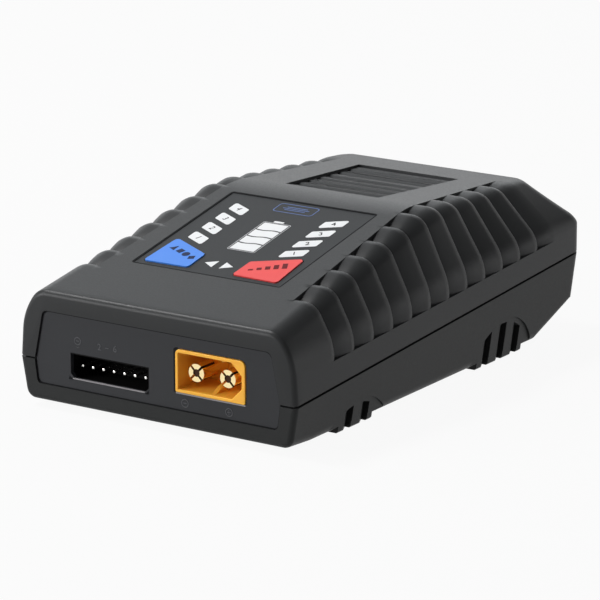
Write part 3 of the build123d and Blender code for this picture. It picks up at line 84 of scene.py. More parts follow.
# how finely the skin is laid out
EDGE_ROWS, PLAIN_ROWS, BEHIND_ROWS, BEVEL_ROWS = 8, 9, 8, 3
CORNER_TURNS = range(10, 100, 10)  # degrees of the rows round the upright corners
GROOVE_ROWS = (-1.8, -1.5, -1.2, -0.9, -0.65, -0.43, -0.25, -0.11, 0.0,
               0.1, 0.3, 0.6, 1.0, 1.5, 2.1, 2.8, 3.5, 4.2)  # behind a groove's riser
LAST_ROW = 5.8  # behind the last riser
BEVEL_CORNER, BEVEL_START = 1.2, 1.5  # either side of the roof's end, and behind it
SHOULDER_STEPS, INNER_STEPS = (14, 12), (4, 4)
SIDE_POINTS, GROOVE_POINTS, ROOF_POINTS, REAR_POINTS, INNER_POINTS = 7, 46, 14, 160, 28
TOP_TOLERANCE = 0.01
BISECTIONS, SHORTEST = 18, 1e-9
OPEN_SHARE, CLOSED_SHARE = 0.92, 0.48  # most that a rounding takes of the shorter side


def mix(a, b, t):
    return a + (b - a) * t


def linspace(a, b, n):
    """n + 1 even steps from a to b."""
    return [a + (b - a) * i / n for i in range(n + 1)]


def seam_z(d):
    return mix(SEAM[0], SEAM[1], d / LENGTH)


def roof_z(d):
    """Height of the roof over the middle, with its round ridge and its bevel to the rear."""
    front = ROOF_FRONT + ROOF_SLOPE * d
    rear = RIDGE_Z - REAR_SLOPE * (d - RIDGE_AT)
    z = min(front, rear)
    # the ridge is an arc that touches both slopes
    half = RIDGE_ROUND * math.tan((math.atan(ROOF_SLOPE) + math.atan(REAR_SLOPE)) / 2)
    start = RIDGE_AT - half * ROOF_COS
    end = RIDGE_AT + half * math.cos(math.atan(REAR_SLOPE))
    if start < d < end:
        centre_d = start + RIDGE_ROUND * ROOF_SIN
        centre_z = ROOF_FRONT + ROOF_SLOPE * start - RIDGE_ROUND * ROOF_COS
        z = centre_z + math.sqrt(RIDGE_ROUND ** 2 - (d - centre_d) ** 2)
    if d > ROOF_END_AT - BEVEL_SOFT_FROM:
        bevel = ROOF_END_Z - (d - ROOF_END_AT) * (ROOF_END_Z - REAR_TOP_Z) / (LENGTH - ROOF_END_AT)
        near = max(BEVEL_SOFT - abs(rear - bevel), 0) / BEVEL_SOFT
        z = min(rear, bevel) - near * near * BEVEL_SOFT / 4
    return z


def section(d):
    """Right-hand corners of one cross-section: parting line, low shoulder and high shoulder."""
    share = d / LENGTH
    seam = (mix(HALF[0], HALF[1], share), seam_z(d))
    if d < RIDGE_AT:
        t = d / RIDGE_AT
        low = (mix(LOW_FRONT[0], LOW_RIDGE[0], t), mix(LOW_FRONT[1], LOW_RIDGE[1], t))
        high_x = mix(HIGH_X[0], HIGH_X[1], t)
        flat_z = ROOF_FRONT + ROOF_SLOPE * d
    else:
        t = (d - RIDGE_AT) / (LENGTH - RIDGE_AT)
        low = (mix(LOW_RIDGE[0], LOW_REAR[0], t), mix(LOW_RIDGE[1], LOW_REAR[1], t))
        high_x = mix(HIGH_X[1], HIGH_X[2], t)
        flat_z = RIDGE_Z - REAR_SLOPE * (d - RIDGE_AT)
    top = roof_z(d)
    # over the rear bevel both corners sink with the roof, and the high one keeps its lean
    lean = (high_x - low[0]) / (flat_z - low[1])
    t = min(1.0, (top - REAR_CORNER - seam[1]) / (low[1] - seam[1]))
    low = (mix(seam[0], low[0], t), mix(seam[1], low[1], t))
    high = (low[0] + lean * (top - low[1]), top)
    return seam, low, high


def corner_rounds(d):
    """Rounding of the low and of the high shoulder."""
    low = LOW_ROUND
    if d > RIDGE_AT:
        low = mix(LOW_ROUND, LOW_ROUND_REAR, (d - RIDGE_AT) / (LENGTH - RIDGE_AT))
    t = min(max((d - ROOF_END_AT + ROUND_CHANGE) / (2 * ROUND_CHANGE), 0.0), 1.0)
    return low, mix(HIGH_ROUND, HIGH_ROUND_REAR, t)


def corner_inset(d, z):
    """How far the rounded upright corner at the rear stands in from the side."""
    end = LENGTH
    if z > REAR_TOP_Z:
        end -= (z - REAR_TOP_Z) * (LENGTH - ROOF_END_AT) / (ROOF_END_Z - REAR_TOP_Z)
    into = REAR_ROUND - min(max(end - d, 0.0), REAR_ROUND)
    return REAR_ROUND - math.sqrt(REAR_ROUND ** 2 - into ** 2)


def corner_arc(before, corner, after, radius, steps, share):
    """Points (x, z, nx, nz) of the arc that rounds a corner, with their normals. It takes up at
    most a share of the shorter side."""
    a, b = (before - corner).normalized(), (after - corner).normalized()
    angle = a.angle(b)
    shorter = min((before - corner).length, (after - corner).length)
    taken = min(radius / math.tan(angle / 2), share * shorter)
    radius = taken * math.tan(angle / 2)
    centre = corner + (a + b).normalized() * radius / math.sin(angle / 2)
    start, end = corner + a * taken - centre, corner + b * taken - centre
    turn = start.angle(end)
    base = math.atan2(start.y, start.x)
    sign = 1 if start.x * end.y - start.y * end.x > 0 else -1
    out = []
    for s in range(steps + 1):
        t = base + sign * turn * s / steps
        nx, nz = math.cos(t), math.sin(t)
        out.append((centre.x + radius * nx, centre.y + radius * nz, nx, nz))
    return out


def rounded(points, radii, steps):
    """Open line with its inner corners rounded, as points (x, z, nx, nz) with their normals."""
    corners = [Vector(point) for point in points]
    out = []
    for i, corner in enumerate(corners):
        if 0 < i < len(corners) - 1:
            before, after = corners[i - 1], corners[i + 1]
            out += corner_arc(before, corner, after, radii[i], steps[i], OPEN_SHARE)
        else:
            along = (corners[1] - corner if i == 0 else corner - corners[-2]).normalized()
            out.append((corner.x, corner.y, along.y, -along.x))
    return out


def round_outline(points, radius, steps=6):
    """Closed outline with its corners rounded, by one radius or by one for each corner."""
    corners = [Vector(point) for point in points]
    n = len(corners)
    radii = radius if isinstance(radius, list) else [radius] * n
    out = []
    for i, corner in enumerate(corners):
        if radii[i] <= 0:
            out.append((corner.x, corner.y))
        else:
            before, after = corners[i - 1], corners[(i + 1) % n]
            arc = corner_arc(before, corner, after, radii[i], steps, CLOSED_SHARE)
            out += [point[:2] for point in arc]
    return out


def arc_lengths(line):
    """Arc length at each point of a line."""
    lengths = [0.0]
    for a, b in zip(line, line[1:]):
        lengths.append(lengths[-1] + math.hypot(b[0] - a[0], b[1] - a[1]))
    return lengths


def resample(line, start_s, end_s, count):
    """count + 1 points at even steps between two arc lengths of a line from rounded()."""
    lengths = arc_lengths(line)
    out = []
    k = 0
    for s in linspace(start_s, end_s, count):
        s = min(max(s, 0.0), lengths[-1])
        while k < len(lengths) - 2 and lengths[k + 1] < s:
            k += 1
        span = lengths[k + 1] - lengths[k]
        t = 0 if span < SHORTEST else (s - lengths[k]) / span
        out.append(tuple(mix(a, b, t) for a, b in zip(line[k], line[k + 1])))
    return out


def arc_at(line, test):
    """Arc length at which test(x, z) first turns true."""
    s = 0.0
    for a, b in zip(line, line[1:]):
        step = math.hypot(b[0] - a[0], b[1] - a[1])
        if test(b[0], b[1]):
            low, high = 0.0, 1.0
            for _ in range(BISECTIONS):
                middle = (low + high) / 2
                if test(mix(a[0], b[0], middle), mix(a[1], b[1], middle)):
                    high = middle
                else:
                    low = middle
            return s + step * high
        s += step
    return s


def moved_in(points, amount):
    """Points of a line from rounded(), moved against their normals."""
    return [(x - nx * amount, z - nz * amount) for x, z, nx, nz in points]


def groove(t):
    """Depth of a groove, t behind its riser: a soft crest, a steep riser, a convex floor."""
    if t < -CREST_LENGTH:
        return 0.0
    if t < 0:
        u = (t + CREST_LENGTH) / CREST_LENGTH
        return CREST_DROP * (1 - math.sqrt(max(0.0, 1 - u * u * CREST_ROUND))) * CREST_GAIN
    if t < RISER_LENGTH:
        return mix(CREST_DROP, GROOVE_DEPTH, t / RISER_LENGTH)
    u = (t - RISER_LENGTH) / (GROOVE_LENGTH - RISER_LENGTH)
    return GROOVE_DEPTH * (1 - u) ** GROOVE_CURVE if u < 1 else 0.0


def groove_depth(d):
    i = math.floor((d - GROOVE_AT + CREST_LENGTH) / GROOVE_PITCH)
    return groove(d - GROOVE_AT - GROOVE_PITCH * i) if 0 <= i < GROOVES else 0.0


def shell_rows():
    """(distance, inset) of each row of the upper shell's skin."""
    rows = []
    for i in range(EDGE_ROWS + 1):
        phi = math.radians(90 * (1 - i / EDGE_ROWS))
        rows.append((FRONT_ROUND * (1 - math.sin(phi)), FRONT_ROUND * (1 - math.cos(phi))))
    plain = linspace(FRONT_ROUND, GROOVE_AT - CREST_LENGTH, PLAIN_ROWS)[1:-1]
    plain += [GROOVE_AT + GROOVE_PITCH * i + t for i in range(GROOVES) for t in GROOVE_ROWS]
    last = GROOVE_AT + GROOVE_PITCH * (GROOVES - 1) + LAST_ROW
    plain += linspace(last, ROOF_END_AT - ROUND_CHANGE, BEHIND_ROWS)
    plain += linspace(ROOF_END_AT - BEVEL_CORNER, ROOF_END_AT + BEVEL_CORNER, BEHIND_ROWS)
    corner = LENGTH - REAR_ROUND
    plain += linspace(ROOF_END_AT + BEVEL_START, corner, BEVEL_ROWS)
    plain += [corner + REAR_ROUND * math.sin(math.radians(turn)) for turn in CORNER_TURNS]
    return rows + [(d, 0.0) for d in plain]


def shoulder_line(d, rounds, steps):
    """Right half of a cross-section, from the parting line to the middle of the roof."""
    seam, low, high = section(d)
    return rounded([seam, low, high, (0, high[1])], [0, *rounds, 0], [0, *steps, 0])


def shell_outline(d, inset):
    """Right-hand points of one row of the upper shell, from the parting line to the middle."""
    seam, _, high = section(d)
    line = shoulder_line(d, corner_rounds(d), SHOULDER_STEPS)
    if d > ROOF_END_AT - REAR_ROUND - 1:
        # the upright corner at the rear takes its share of the side and of the roof's edge
        line = resample(line, 0, arc_lengths(line)[-1], REAR_POINTS)
        top = high[1] - TOP_TOLERANCE
        edge = max(p[0] for p in line if p[1] > top) - corner_inset(d, high[1])
        line = [
            (p[0] - corner_inset(d, p[1]), *p[1:]) if p[1] <= top else (min(p[0], edge), *p[1:])
            for p in line
        ]
    gap_z, ledge_z = seam[1] + SEAM_GAP, seam[1] + LEDGE_ABOVE_SEAM
    end_x = END_WALL_X - END_WALL_TAPER * (d - GROOVE_AT)
    gap_s = arc_at(line, lambda x, z: z >= gap_z)
    ledge_s = arc_at(line, lambda x, z: z >= ledge_z)
    end_s = arc_at(line, lambda x, z: x <= end_x)
    rim_x = resample(line, gap_s, gap_s, 1)[0][0]
    inner_x = rim_x - SEAM_GAP_DEPTH
    gap = [(inner_x - inset, seam[1]), (inner_x - inset, gap_z), (rim_x - SEAM_EDGE - inset, gap_z)]
    side = resample(line, gap_s + SEAM_CHAMFER, ledge_s, SIDE_POINTS)
    shoulder = resample(line, ledge_s + END_WALL, end_s - END_WALL, GROOVE_POINTS)
    roof = resample(line, end_s, arc_lengths(line)[-1], ROOF_POINTS)
    return (gap + moved_in(side, inset) + moved_in(shoulder, inset + groove_depth(d))
            + moved_in(roof, inset))


def inner_outline(d):
    """Right-hand points of one row of the hollow, from below the parting line to the middle."""
    rounds = [max(radius, WALL + INNER_ROUND) for radius in corner_rounds(d)]
    line = shoulder_line(d, rounds, INNER_STEPS)
    points = moved_in(resample(line, 0, arc_lengths(line)[-1], INNER_POINTS), WALL)
    return [(points[0][0], points[0][1] - INNER_BELOW)] + points


# ---------------------------------- meshes
def finish_mesh(name, mesh):
    """Object of a bmesh, which is used up."""
    data = bpy.data.meshes.new(name)
    mesh.to_mesh(data)
    mesh.free()
    piece = bpy.data.objects.new(name, data)
    bpy.context.scene.collection.objects.link(piece)
    return piece


def grid_solid(name, rows):
    """Closed mesh from rows of right-hand points (distance, [(x, z), ...]); the last point of each
    row is on the mirror plane."""
    mesh = bmesh.new()
    lines = []
    for d, points in rows:
        y = (d - LENGTH / 2) / MM
        line = [mesh.verts.new((x / MM, y, z / MM)) for x, z in points]
        line += [mesh.verts.new((-x / MM, y, z / MM)) for x, z in reversed(points[:-1])]
        lines.append(line)
    for a, b in zip(lines, lines[1:]):
        n = len(a)
        for i in range(n):
            j = (i + 1) % n
            mesh.faces.new((a[i], b[i], b[j], a[j]))
    mesh.faces.new(lines[0])
    mesh.faces.new(list(reversed(lines[-1])))
    bmesh.ops.recalc_face_normals(mesh, faces=mesh.faces)
    return finish_mesh(name, mesh)


def frame_of(origin, x_dir, z_dir):
    """Matrix whose local x and z are the given directions."""
    z = Vector(z_dir).normalized()
    x = Vector(x_dir).normalized()
    matrix = Matrix((x, z.cross(x), z)).transposed().to_4x4()
    matrix.translation = Vector(origin) / MM
    return matrix


# local z is outwards: from the front slope of the roof, from its rear slope, and from the front end
RIDGE = (0, RIDGE_AT - LENGTH / 2, RIDGE_Z)
ROOF_FRAME = frame_of((0, -LENGTH / 2, ROOF_FRONT), (1, 0, 0), (0, -ROOF_SIN, ROOF_COS))
REAR_FRAME = frame_of(RIDGE, (1, 0, 0), (0, REAR_SLOPE * REAR_COS, REAR_COS))
FRONT_FRAME = frame_of((0, -LENGTH / 2, 0), (1, 0, 0), (0, -1, 0))


def verts_at(mesh, outline, frame_matrix, z):
    """New vertices along an outline in the frame's x and y, at a height along its z."""
    return [mesh.verts.new(frame_matrix @ Vector((x / MM, y / MM, z / MM))) for x, y in outline]


def prism_into(mesh, outline, frame_matrix, low, high):
    """Adds a prism to a bmesh: an outline in the frame's x and y, between two heights."""
    bottom, top = (verts_at(mesh, outline, frame_matrix, z) for z in (low, high))
    n = len(outline)
    faces = [mesh.faces.new(list(reversed(bottom))), mesh.faces.new(top)]
    for i in range(n):
        j = (i + 1) % n
        faces.append(mesh.faces.new((bottom[i], bottom[j], top[j], top[i])))
    area = sum(a[0] * b[1] - b[0] * a[1] for a, b in zip(outline, outline[1:] + outline[:1]))
    if area < 0:
        bmesh.ops.reverse_faces(mesh, faces=faces)


def prisms(name, items):
    """One mesh of prisms, from items of (outline, frame, low, high)."""
    mesh = bmesh.new()
    for item in items:
        prism_into(mesh, *item)
    return finish_mesh(name, mesh)


def bands(name, items):
    """One mesh of closed bands, each between two outlines with equal numbers of points, from items
    of (outer, inner, frame, low, high)."""
    mesh = bmesh.new()
    for outer, inner, frame_matrix, low, high in items:
        loops = [verts_at(mesh, outline, frame_matrix, z)
                 for outline, z in ((outer, low), (outer, high), (inner, high), (inner, low))]
        n = len(outer)
        for a, b in zip(loops, loops[1:] + loops[:1]):
            for i in range(n):
                j = (i + 1) % n
                mesh.faces.new((a[i], a[j], b[j], b[i]))
    bmesh.ops.recalc_face_normals(mesh, faces=mesh.faces)
    return finish_mesh(name, mesh)


def bake_modifiers(piece):
    graph = bpy.context.evaluated_depsgraph_get()
    data = bpy.data.meshes.new_from_object(piece.evaluated_get(graph))
    old = piece.data
    piece.modifiers.clear()
    piece.data = data
    data.name = piece.name
    bpy.data.meshes.remove(old)


def combine(piece, tools, operation):
    """Adds (UNION) or takes away (DIFFERENCE) each tool in turn; the tools are then removed."""
    for tool in tools:
        modifier = piece.modifiers.new("combine", "BOOLEAN")
        modifier.operation = operation
        modifier.solver = "EXACT"
        modifier.object = tool
    bake_modifiers(piece)
    for tool in tools:
        data = tool.data
        bpy.data.objects.remove(tool)
        bpy.data.meshes.remove(data)


def soften(piece, angle=32):
    """Smooth shading up to an angle between faces."""
    piece.data.polygons.foreach_set("use_smooth", [True] * len(piece.data.polygons))
    piece.data.set_sharp_from_angle(angle=math.radians(angle))


def bevel(piece, segments, angle):
    """Rounds the edges that are sharper than an angle."""
    modifier = piece.modifiers.new("edge", "BEVEL")
    modifier.width = EDGE_BEVEL / MM
    modifier.segments = segments
    modifier.limit_method = "ANGLE"
    modifier.angle_limit = math.radians(angle)
    soften(piece, angle)


# ---------------------------------- outlines
def rectangle(left, low, right, high):
    return [(left, low), (right, low), (right, high), (left, high)]


def box_outline(x, y, width, height):
    return rectangle(x - width / 2, y - height / 2, x + width / 2, y + height / 2)


def circle(x, y, r, count):
    turns = [2 * math.pi * i / count for i in range(count)]
    return [(x + r * math.cos(turn), y + r * math.sin(turn)) for turn in turns]


def mirrored(points):
    return [(-x, y) for x, y in reversed(points)]


def both(right):
    """A right-hand outline with its mirror image, closed."""
    return right + mirrored(right)


def grown(points, amount):
    """Convex anticlockwise outline moved outwards."""
    out = []
    n = len(points)
    for i in range(n):
        p, a, b = Vector(points[i]), Vector(points[i - 1]), Vector(points[(i + 1) % n])
        u, v = (p - a).normalized(), (b - p).normalized()
        nu, nv = Vector((u.y, -u.x)), Vector((v.y, -v.x))
        m = (nu + nv).normalized()
        out.append(tuple(p + m * amount / m.dot(nu)))
    return out


def turned(points, x, y, angle):
    """Outline about the origin, turned and then moved to x, y."""
    c, s = math.cos(angle), math.sin(angle)
    return [(x + px * c - py * s, y + px * s + py * c) for px, py in points]


# ---------------------------------- upper shell
INNER_START, INNER_ROWS = 6, 22
PANEL_GAP = 0.2
FRONT_PANEL = [(27.85, 4.9), (28.45, 9.45), (26.35, 19.35)]  # right-hand corners (x, z)
FRONT_PANEL_ROUNDS = [1.0, 0, 1.25, 1.25, 0, 1.0]
REAR_PANEL = [(23.0, 9.3), (23.0, 21.3)]
REAR_PANEL_ROUND = 1.0
PANEL_STEPS = 8
PANEL_CUT = 3 * WALL  # how far in the end walls are cut away for the panels
# On the roof, y runs up the slope from the front end.
LABEL_HALF, LABEL_START, LABEL_END = 17.35, 16.97, 52.3
POCKET_MARGIN, POCKET_ROUND, POCKET_HEIGHTS = 0.22, 0.7, (-0.5, 5)
KEY = [(5.2, 18.8), (15.6, 18.6), (15.0, 29.4), (5.3, 24.9)]
KEY_GAP, KEY_HOLE_ROUND, KEY_HOLE_HEIGHTS = 0.3, 0.8, (-5, 4.5)
WINDOW_X, WINDOW_AT, WINDOW_PITCH, WINDOWS = 11.3, 31.2, 4.77, 4
WINDOW_WIDTH, WINDOW_HEIGHT, WINDOW_SLANT = 4.4, 2.9, 2.1
GAUGE_X, GAUGE_WIDTH, GAUGE_START, GAUGE_END = 0.3, 6.5, 28.8, 42.2
HOLE_HEIGHTS = (-5, 4)
VENT_START, VENT_END = 61.0, 90.3
VENT_HALF = (11.1, 12.2)  # half width at the start and at the end
VENT_SLOTS, VENT_FIRST, VENT_PITCH, VENT_WIDTH = 7, 63.3, 4.07, 2.0
VENT_RECESS, SLOT_BOTTOM, VENT_TOP = 0.5, -5, 4
LOUVRE_DROP, LOUVRE_ABOVE = 1.35, 0.3  # of a bar's front edge, and how far its cutter reaches up
LOUVRE_BEFORE, LOUVRE_BACK = 0.5, 0.15  # how far its cutter starts before the bar, and stops short


def window_outline(i, side, amount=0.0):
    """Charge window i, on the right (side 1) or on the left (-1), grown by an amount."""
    left, right = WINDOW_X - WINDOW_WIDTH / 2, WINDOW_X + WINDOW_WIDTH / 2
    middle = WINDOW_AT + i * WINDOW_PITCH
    low, high = middle - WINDOW_HEIGHT / 2, middle + WINDOW_HEIGHT / 2
    points = grown([(left, low - WINDOW_SLANT / 2), (right, low + WINDOW_SLANT / 2),
                    (right, high + WINDOW_SLANT / 2), (left, high - WINDOW_SLANT / 2)], amount)
    return points if side > 0 else mirrored(points)


def vent_half(d):
    return mix(*VENT_HALF, (d - VENT_START) / (VENT_END - VENT_START))


def down_slope(d):
    """Way from the ridge down the rear slope of the roof."""
    return (d - RIDGE_AT) / REAR_COS


def vent_outline(a, b):
    """The vent between two distances, in the rear slope's frame."""
    return [(-vent_half(a), down_slope(a)), (vent_half(a), down_slope(a)),
            (vent_half(b), down_slope(b)), (-vent_half(b), down_slope(b))]


def vent_cutter():
    """The vent's recess with the slots in its floor."""
    slots = []
    for i in range(VENT_SLOTS):
        d = VENT_FIRST + i * VENT_PITCH
        slots.append((vent_outline(d - VENT_WIDTH / 2, d + VENT_WIDTH / 2), REAR_FRAME,
                      SLOT_BOTTOM, -VENT_RECESS))
    recess = prisms("vent_recess", [(vent_outline(VENT_START, VENT_END), REAR_FRAME,
                                     -VENT_RECESS, VENT_TOP)])
    combine(recess, [prisms("vent_slots", slots)], "UNION")
    return recess


def louvre_cutter():
    """Lets the bars between the slots slope down towards the front."""
    sideways = frame_of(RIDGE, (0, REAR_COS, -REAR_SLOPE * REAR_COS), (1, 0, 0))
    items = []
    for i in range(VENT_SLOTS - 1):
        bar = VENT_FIRST + i * VENT_PITCH + VENT_WIDTH / 2
        start = down_slope(bar - LOUVRE_BEFORE)
        end = down_slope(bar + VENT_PITCH - VENT_WIDTH - LOUVRE_BACK)
        above = -VENT_RECESS + LOUVRE_ABOVE
        outline = [(start, -VENT_RECESS - LOUVRE_DROP), (end, -VENT_RECESS),
                   (end, above), (start, above)]
        items.append((outline, sideways, -vent_half(bar), vent_half(bar)))
    return prisms("louvre_cutter", items)


def make_upper_shell():
    rows = [(d, shell_outline(d, inset)) for d, inset in shell_rows()]
    shell = grid_solid("upper_shell_skin", rows)
    inner_rows = [WALL] + linspace(INNER_START, ROOF_END_AT - WALL, INNER_ROWS) + [LENGTH - WALL]
    hollow = grid_solid("hollow", [(d, inner_outline(d)) for d in inner_rows])
    front = round_outline(grown(both(FRONT_PANEL), PANEL_GAP), FRONT_PANEL_ROUNDS, PANEL_STEPS)
    rear = round_outline(grown(both(REAR_PANEL), PANEL_GAP), REAR_PANEL_ROUND)
    panels = prisms("panel_cutters", [
        (front, FRONT_FRAME, -PANEL_CUT, WALL),
        (rear, FRONT_FRAME, -LENGTH - WALL, -LENGTH + PANEL_CUT),
    ])
    # the gap along the parting line, across both end faces
    side = HALF[1] + WALL
    gaps = prisms("gap_cutters", [
        (rectangle(-side, 0, side, SEAM[0] + SEAM_GAP), FRONT_FRAME, -SEAM_GAP_DEPTH, WALL),
        (rectangle(-side, 0, side, SEAM[1] + SEAM_GAP), FRONT_FRAME, -LENGTH - WALL,
         -LENGTH + SEAM_GAP_DEPTH),
    ])
    # on the left and at the back the pocket is wider than the label
    label = rectangle(-LABEL_HALF - POCKET_MARGIN, LABEL_START,
                      LABEL_HALF, LABEL_END + POCKET_MARGIN)
    label = round_outline(label, POCKET_ROUND)
    pocket = prisms("pocket_cutter", [(label, ROOF_FRAME, *POCKET_HEIGHTS)])
    holes = [(round_outline(grown(key, KEY_GAP), KEY_HOLE_ROUND), ROOF_FRAME, *KEY_HOLE_HEIGHTS)
             for key in (KEY, mirrored(KEY))]
    holes += [(window_outline(i, side), ROOF_FRAME, *HOLE_HEIGHTS)
              for side in (-1, 1) for i in range(WINDOWS)]
    gauge = rectangle(GAUGE_X - GAUGE_WIDTH / 2, GAUGE_START, GAUGE_X + GAUGE_WIDTH / 2, GAUGE_END)
    holes.append((gauge, ROOF_FRAME, *HOLE_HEIGHTS))
    combine(shell, [hollow, panels, gaps, pocket, prisms("hole_cutters", holes), vent_cutter(),
                    louvre_cutter()], "DIFFERENCE")
    soften(shell)
    return shell


# ---------------------------------- materials
GRAIN_DETAIL, GRAIN_ROUGHNESS = 3, 0.6
MOTTLE_SCALE, MOTTLE_DETAIL = 140, 4
GLOSS_FROM, GLOSS_TO, GLOSS_SPREAD = 0.3, 0.7, 0.05
INK_GRAIN, INK_BUMP = 0.2, 0.002


def set_inputs(material, node, inputs):
    """Sets a node's inputs; one that is given as another node's output is linked to it."""
    for name, value in inputs.items():
        if isinstance(value, bpy.types.NodeSocket):
            material.node_tree.links.new(value, node.inputs[name])
        else:
            node.inputs[name].default_value = value


def add_node(material, kind, inputs, **settings):
    node = material.node_tree.nodes.new("ShaderNode" + kind)
    for name, value in settings.items():
        setattr(node, name, value)
    set_inputs(material, node, inputs)
    return node


def new_material(name):
    material = bpy.data.materials.new(name)
    material.use_nodes = True
    return material, material.node_tree.nodes["Principled BSDF"]


def surface(name, colour, roughness, grain, bump, mottle=0.05, specular=0.5, metallic=0.0):
    """Moulded surface: an even spark-eroded grain as bump, with a faint mottle in colour and gloss.
    grain and bump are in millimetres."""
    material, shader = new_material(name)
    place = add_node(material, "TexCoord", {}).outputs["Object"]
    fine = add_node(material, "TexNoise", {
        "Scale": MM / grain, "Detail": GRAIN_DETAIL, "Roughness": GRAIN_ROUGHNESS, "Vector": place,
    }).outputs["Fac"]
    broad = add_node(material, "TexNoise", {
        "Scale": MOTTLE_SCALE, "Detail": MOTTLE_DETAIL, "Vector": place,
    }).outputs["Fac"]
    half = add_node(material, "Math", {0: broad, 1: 0.5}, operation="MULTIPLY").outputs[0]
    mixed = add_node(material, "Math", {0: fine, 1: 0.5, 2: half},
                     operation="MULTIPLY_ADD").outputs[0]
    base = add_node(material, "Mix", {
        "A": [c * (1 - mottle) for c in colour] + [1],
        "B": [min(1, c * (1 + mottle)) for c in colour] + [1],
        "Factor": mixed,
    }, data_type="RGBA").outputs["Result"]
    rough = add_node(material, "MapRange", {
        "From Min": GLOSS_FROM, "From Max": GLOSS_TO,
        "To Min": roughness - GLOSS_SPREAD, "To Max": roughness + GLOSS_SPREAD, "Value": fine,
    }).outputs["Result"]
    normal = add_node(material, "Bump", {
        "Strength": 1.0, "Distance": bump / MM, "Height": fine,
    }).outputs["Normal"]
    set_inputs(material, shader, {
        "Metallic": metallic, "Specular IOR Level": specular,
        "Base Color": base, "Roughness": rough, "Normal": normal,
    })
    return material


def ink(name, colour, roughness, mottle, specular=0.5):
    return surface(name, colour, roughness, INK_GRAIN, INK_BUMP, mottle, specular)


# colour, roughness, grain, bump, mottle and specular level of each slot
PLASTICS = {
    "shell_plastic": ((0.0195, 0.0205, 0.0215), 0.42, 0.32, 0.010, 0.10, 0.2),
    "panel_plastic": ((0.023, 0.024, 0.027), 0.50, 0.28, 0.008, 0.08, 0.2),
    "header_plastic": ((0.005, 0.005, 0.005), 0.6, 0.2, 0.003, 0.1, 0.06),
    "connector_yellow": ((1.0, 0.47, 0.055), 0.38, 0.3, 0.003, 0.05, 0.3),
    "label_film": ((0.029, 0.031, 0.033), 0.55, 0.16, 0.004, 0.08, 0.14),
    "key_blue": ((0.058, 0.215, 0.69), 0.45, 0.16, 0.003, 0.05, 0.2),
    "key_red": ((0.70, 0.062, 0.060), 0.45, 0.16, 0.003, 0.05, 0.2),
    "switch_plastic": ((0.012, 0.012, 0.012), 0.45, 0.2, 0.003),
    "light_guide": ((0.75, 0.77, 0.78), 0.3, 0.3, 0.001, 0.03),
    "board_laminate": ((0.012, 0.11, 0.045), 0.35, 0.5, 0.004, 0.15),
    "led_white": ((0.85, 0.85, 0.75), 0.3, 0.2, 0.001),
    "ferrite": ((0.045, 0.045, 0.05), 0.6, 0.3, 0.01, 0.15),
    "winding_tape": ((0.70, 0.48, 0.06), 0.3, 0.6, 0.006, 0.06),
    "capacitor_sleeve": ((0.02, 0.03, 0.08), 0.3, 0.5, 0.003),
    "chip_epoxy": ((0.02, 0.02, 0.021), 0.6, 0.2, 0.006, 0.1),
    "fuse_ceramic": ((0.72, 0.70, 0.64), 0.3, 0.3, 0.002),
    "fan_plastic": ((0.012, 0.012, 0.013), 0.4, 0.3, 0.004, 0.1),
}
# colour, roughness, grain, bump and mottle
METALS = {
    "tin_contact": ((0.86, 0.85, 0.82), 0.22, 0.15, 0.001, 0.04),
    "gold_contact": ((0.93, 0.76, 0.42), 0.2, 0.2, 0.001, 0.05),
    "screw_steel": ((0.55, 0.55, 0.56), 0.35, 0.15, 0.002, 0.08),
    "sink_aluminium": ((0.78, 0.79, 0.80), 0.38, 0.3, 0.004, 0.06),
    "winding_copper": ((0.72, 0.30, 0.12), 0.3, 0.4, 0.02, 0.1),
    "bearing_brass": ((0.78, 0.58, 0.28), 0.35, 0.2, 0.004, 0.1),
}
MATERIALS = {name: surface(name, *values) for name, values in PLASTICS.items()}
MATERIALS |= {name: surface(name, *values, metallic=1.0) for name, values in METALS.items()}
NYLON = MATERIALS["connector_yellow"]
set_inputs(NYLON, NYLON.node_tree.nodes["Principled BSDF"], {
    "Subsurface Weight": 0.15, "Subsurface Radius": (1.0, 0.35, 0.1), "Subsurface Scale": 0.003,
})
# the shell plastic made slightly darker and less glossy for the lower shell: painted shade
SHADED_LOWER_SHELL = surface("shell_plastic_lower_shaded", (0.0188, 0.0198, 0.0200), 0.48, 0.32, 0.010, 0.10,
                      specular=0.15)
INK_WHITE = ink("ink_white", (0.70, 0.71, 0.72), 0.4, 0.02, 0.2)
INK_PALE = ink("ink_pale", (0.45, 0.46, 0.47), 0.4, 0.03)
INK_BLUE = ink("ink_blue", (0.03, 0.08, 0.25), 0.4, 0.03)
# dark ink of the window numbers, which also paints the shade lines at the label's edge, round the
# panel and beside the connector
DARK_INK_AND_SHADE = ink("dark_ink_and_painted_shade", (0.006, 0.006, 0.007), 0.6, 0.03, 0.08)
INK_NAVY = ink("ink_navy", (0.018, 0.028, 0.075), 0.6, 0.03, 0.1)
INK_MAROON = ink("ink_maroon", (0.13, 0.012, 0.014), 0.6, 0.03, 0.1)
# dark brown painted as the shade inside the battery pins and in their bores
BORE_SHADE = ink("painted_bore_shade", (0.035, 0.012, 0.004), 0.6, 0.05, 0.15)
# pale grey painted as the highlight on the lips under the ports
LIP_HIGHLIGHT = ink("painted_lip_highlight", (0.26, 0.25, 0.26), 0.45, 0.05, 0.3)
MARK_GREY = ink("mark_grey", (0.070, 0.072, 0.078), 0.5, 0.05, 0.2)


def paint(obj, material):
    obj.data.materials.clear()
    obj.data.materials.append(material)


def add_piece(piece, slot, body="case", material=None):
    paint(piece, material or MATERIALS[slot])
    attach(piece, body)
    return piece


slots = {part["node"]: part["material_slot"] for part in frame["record"]["subparts"]}
for node, obj in frame["nodes"].items():
    for material_slot in obj.material_slots:
        material_slot.material = SHADED_LOWER_SHELL if node == "lower_shell" else MATERIALS[slots[node]]

shell = add_piece(make_upper_shell(), "shell_plastic")
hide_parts("upper_shell")

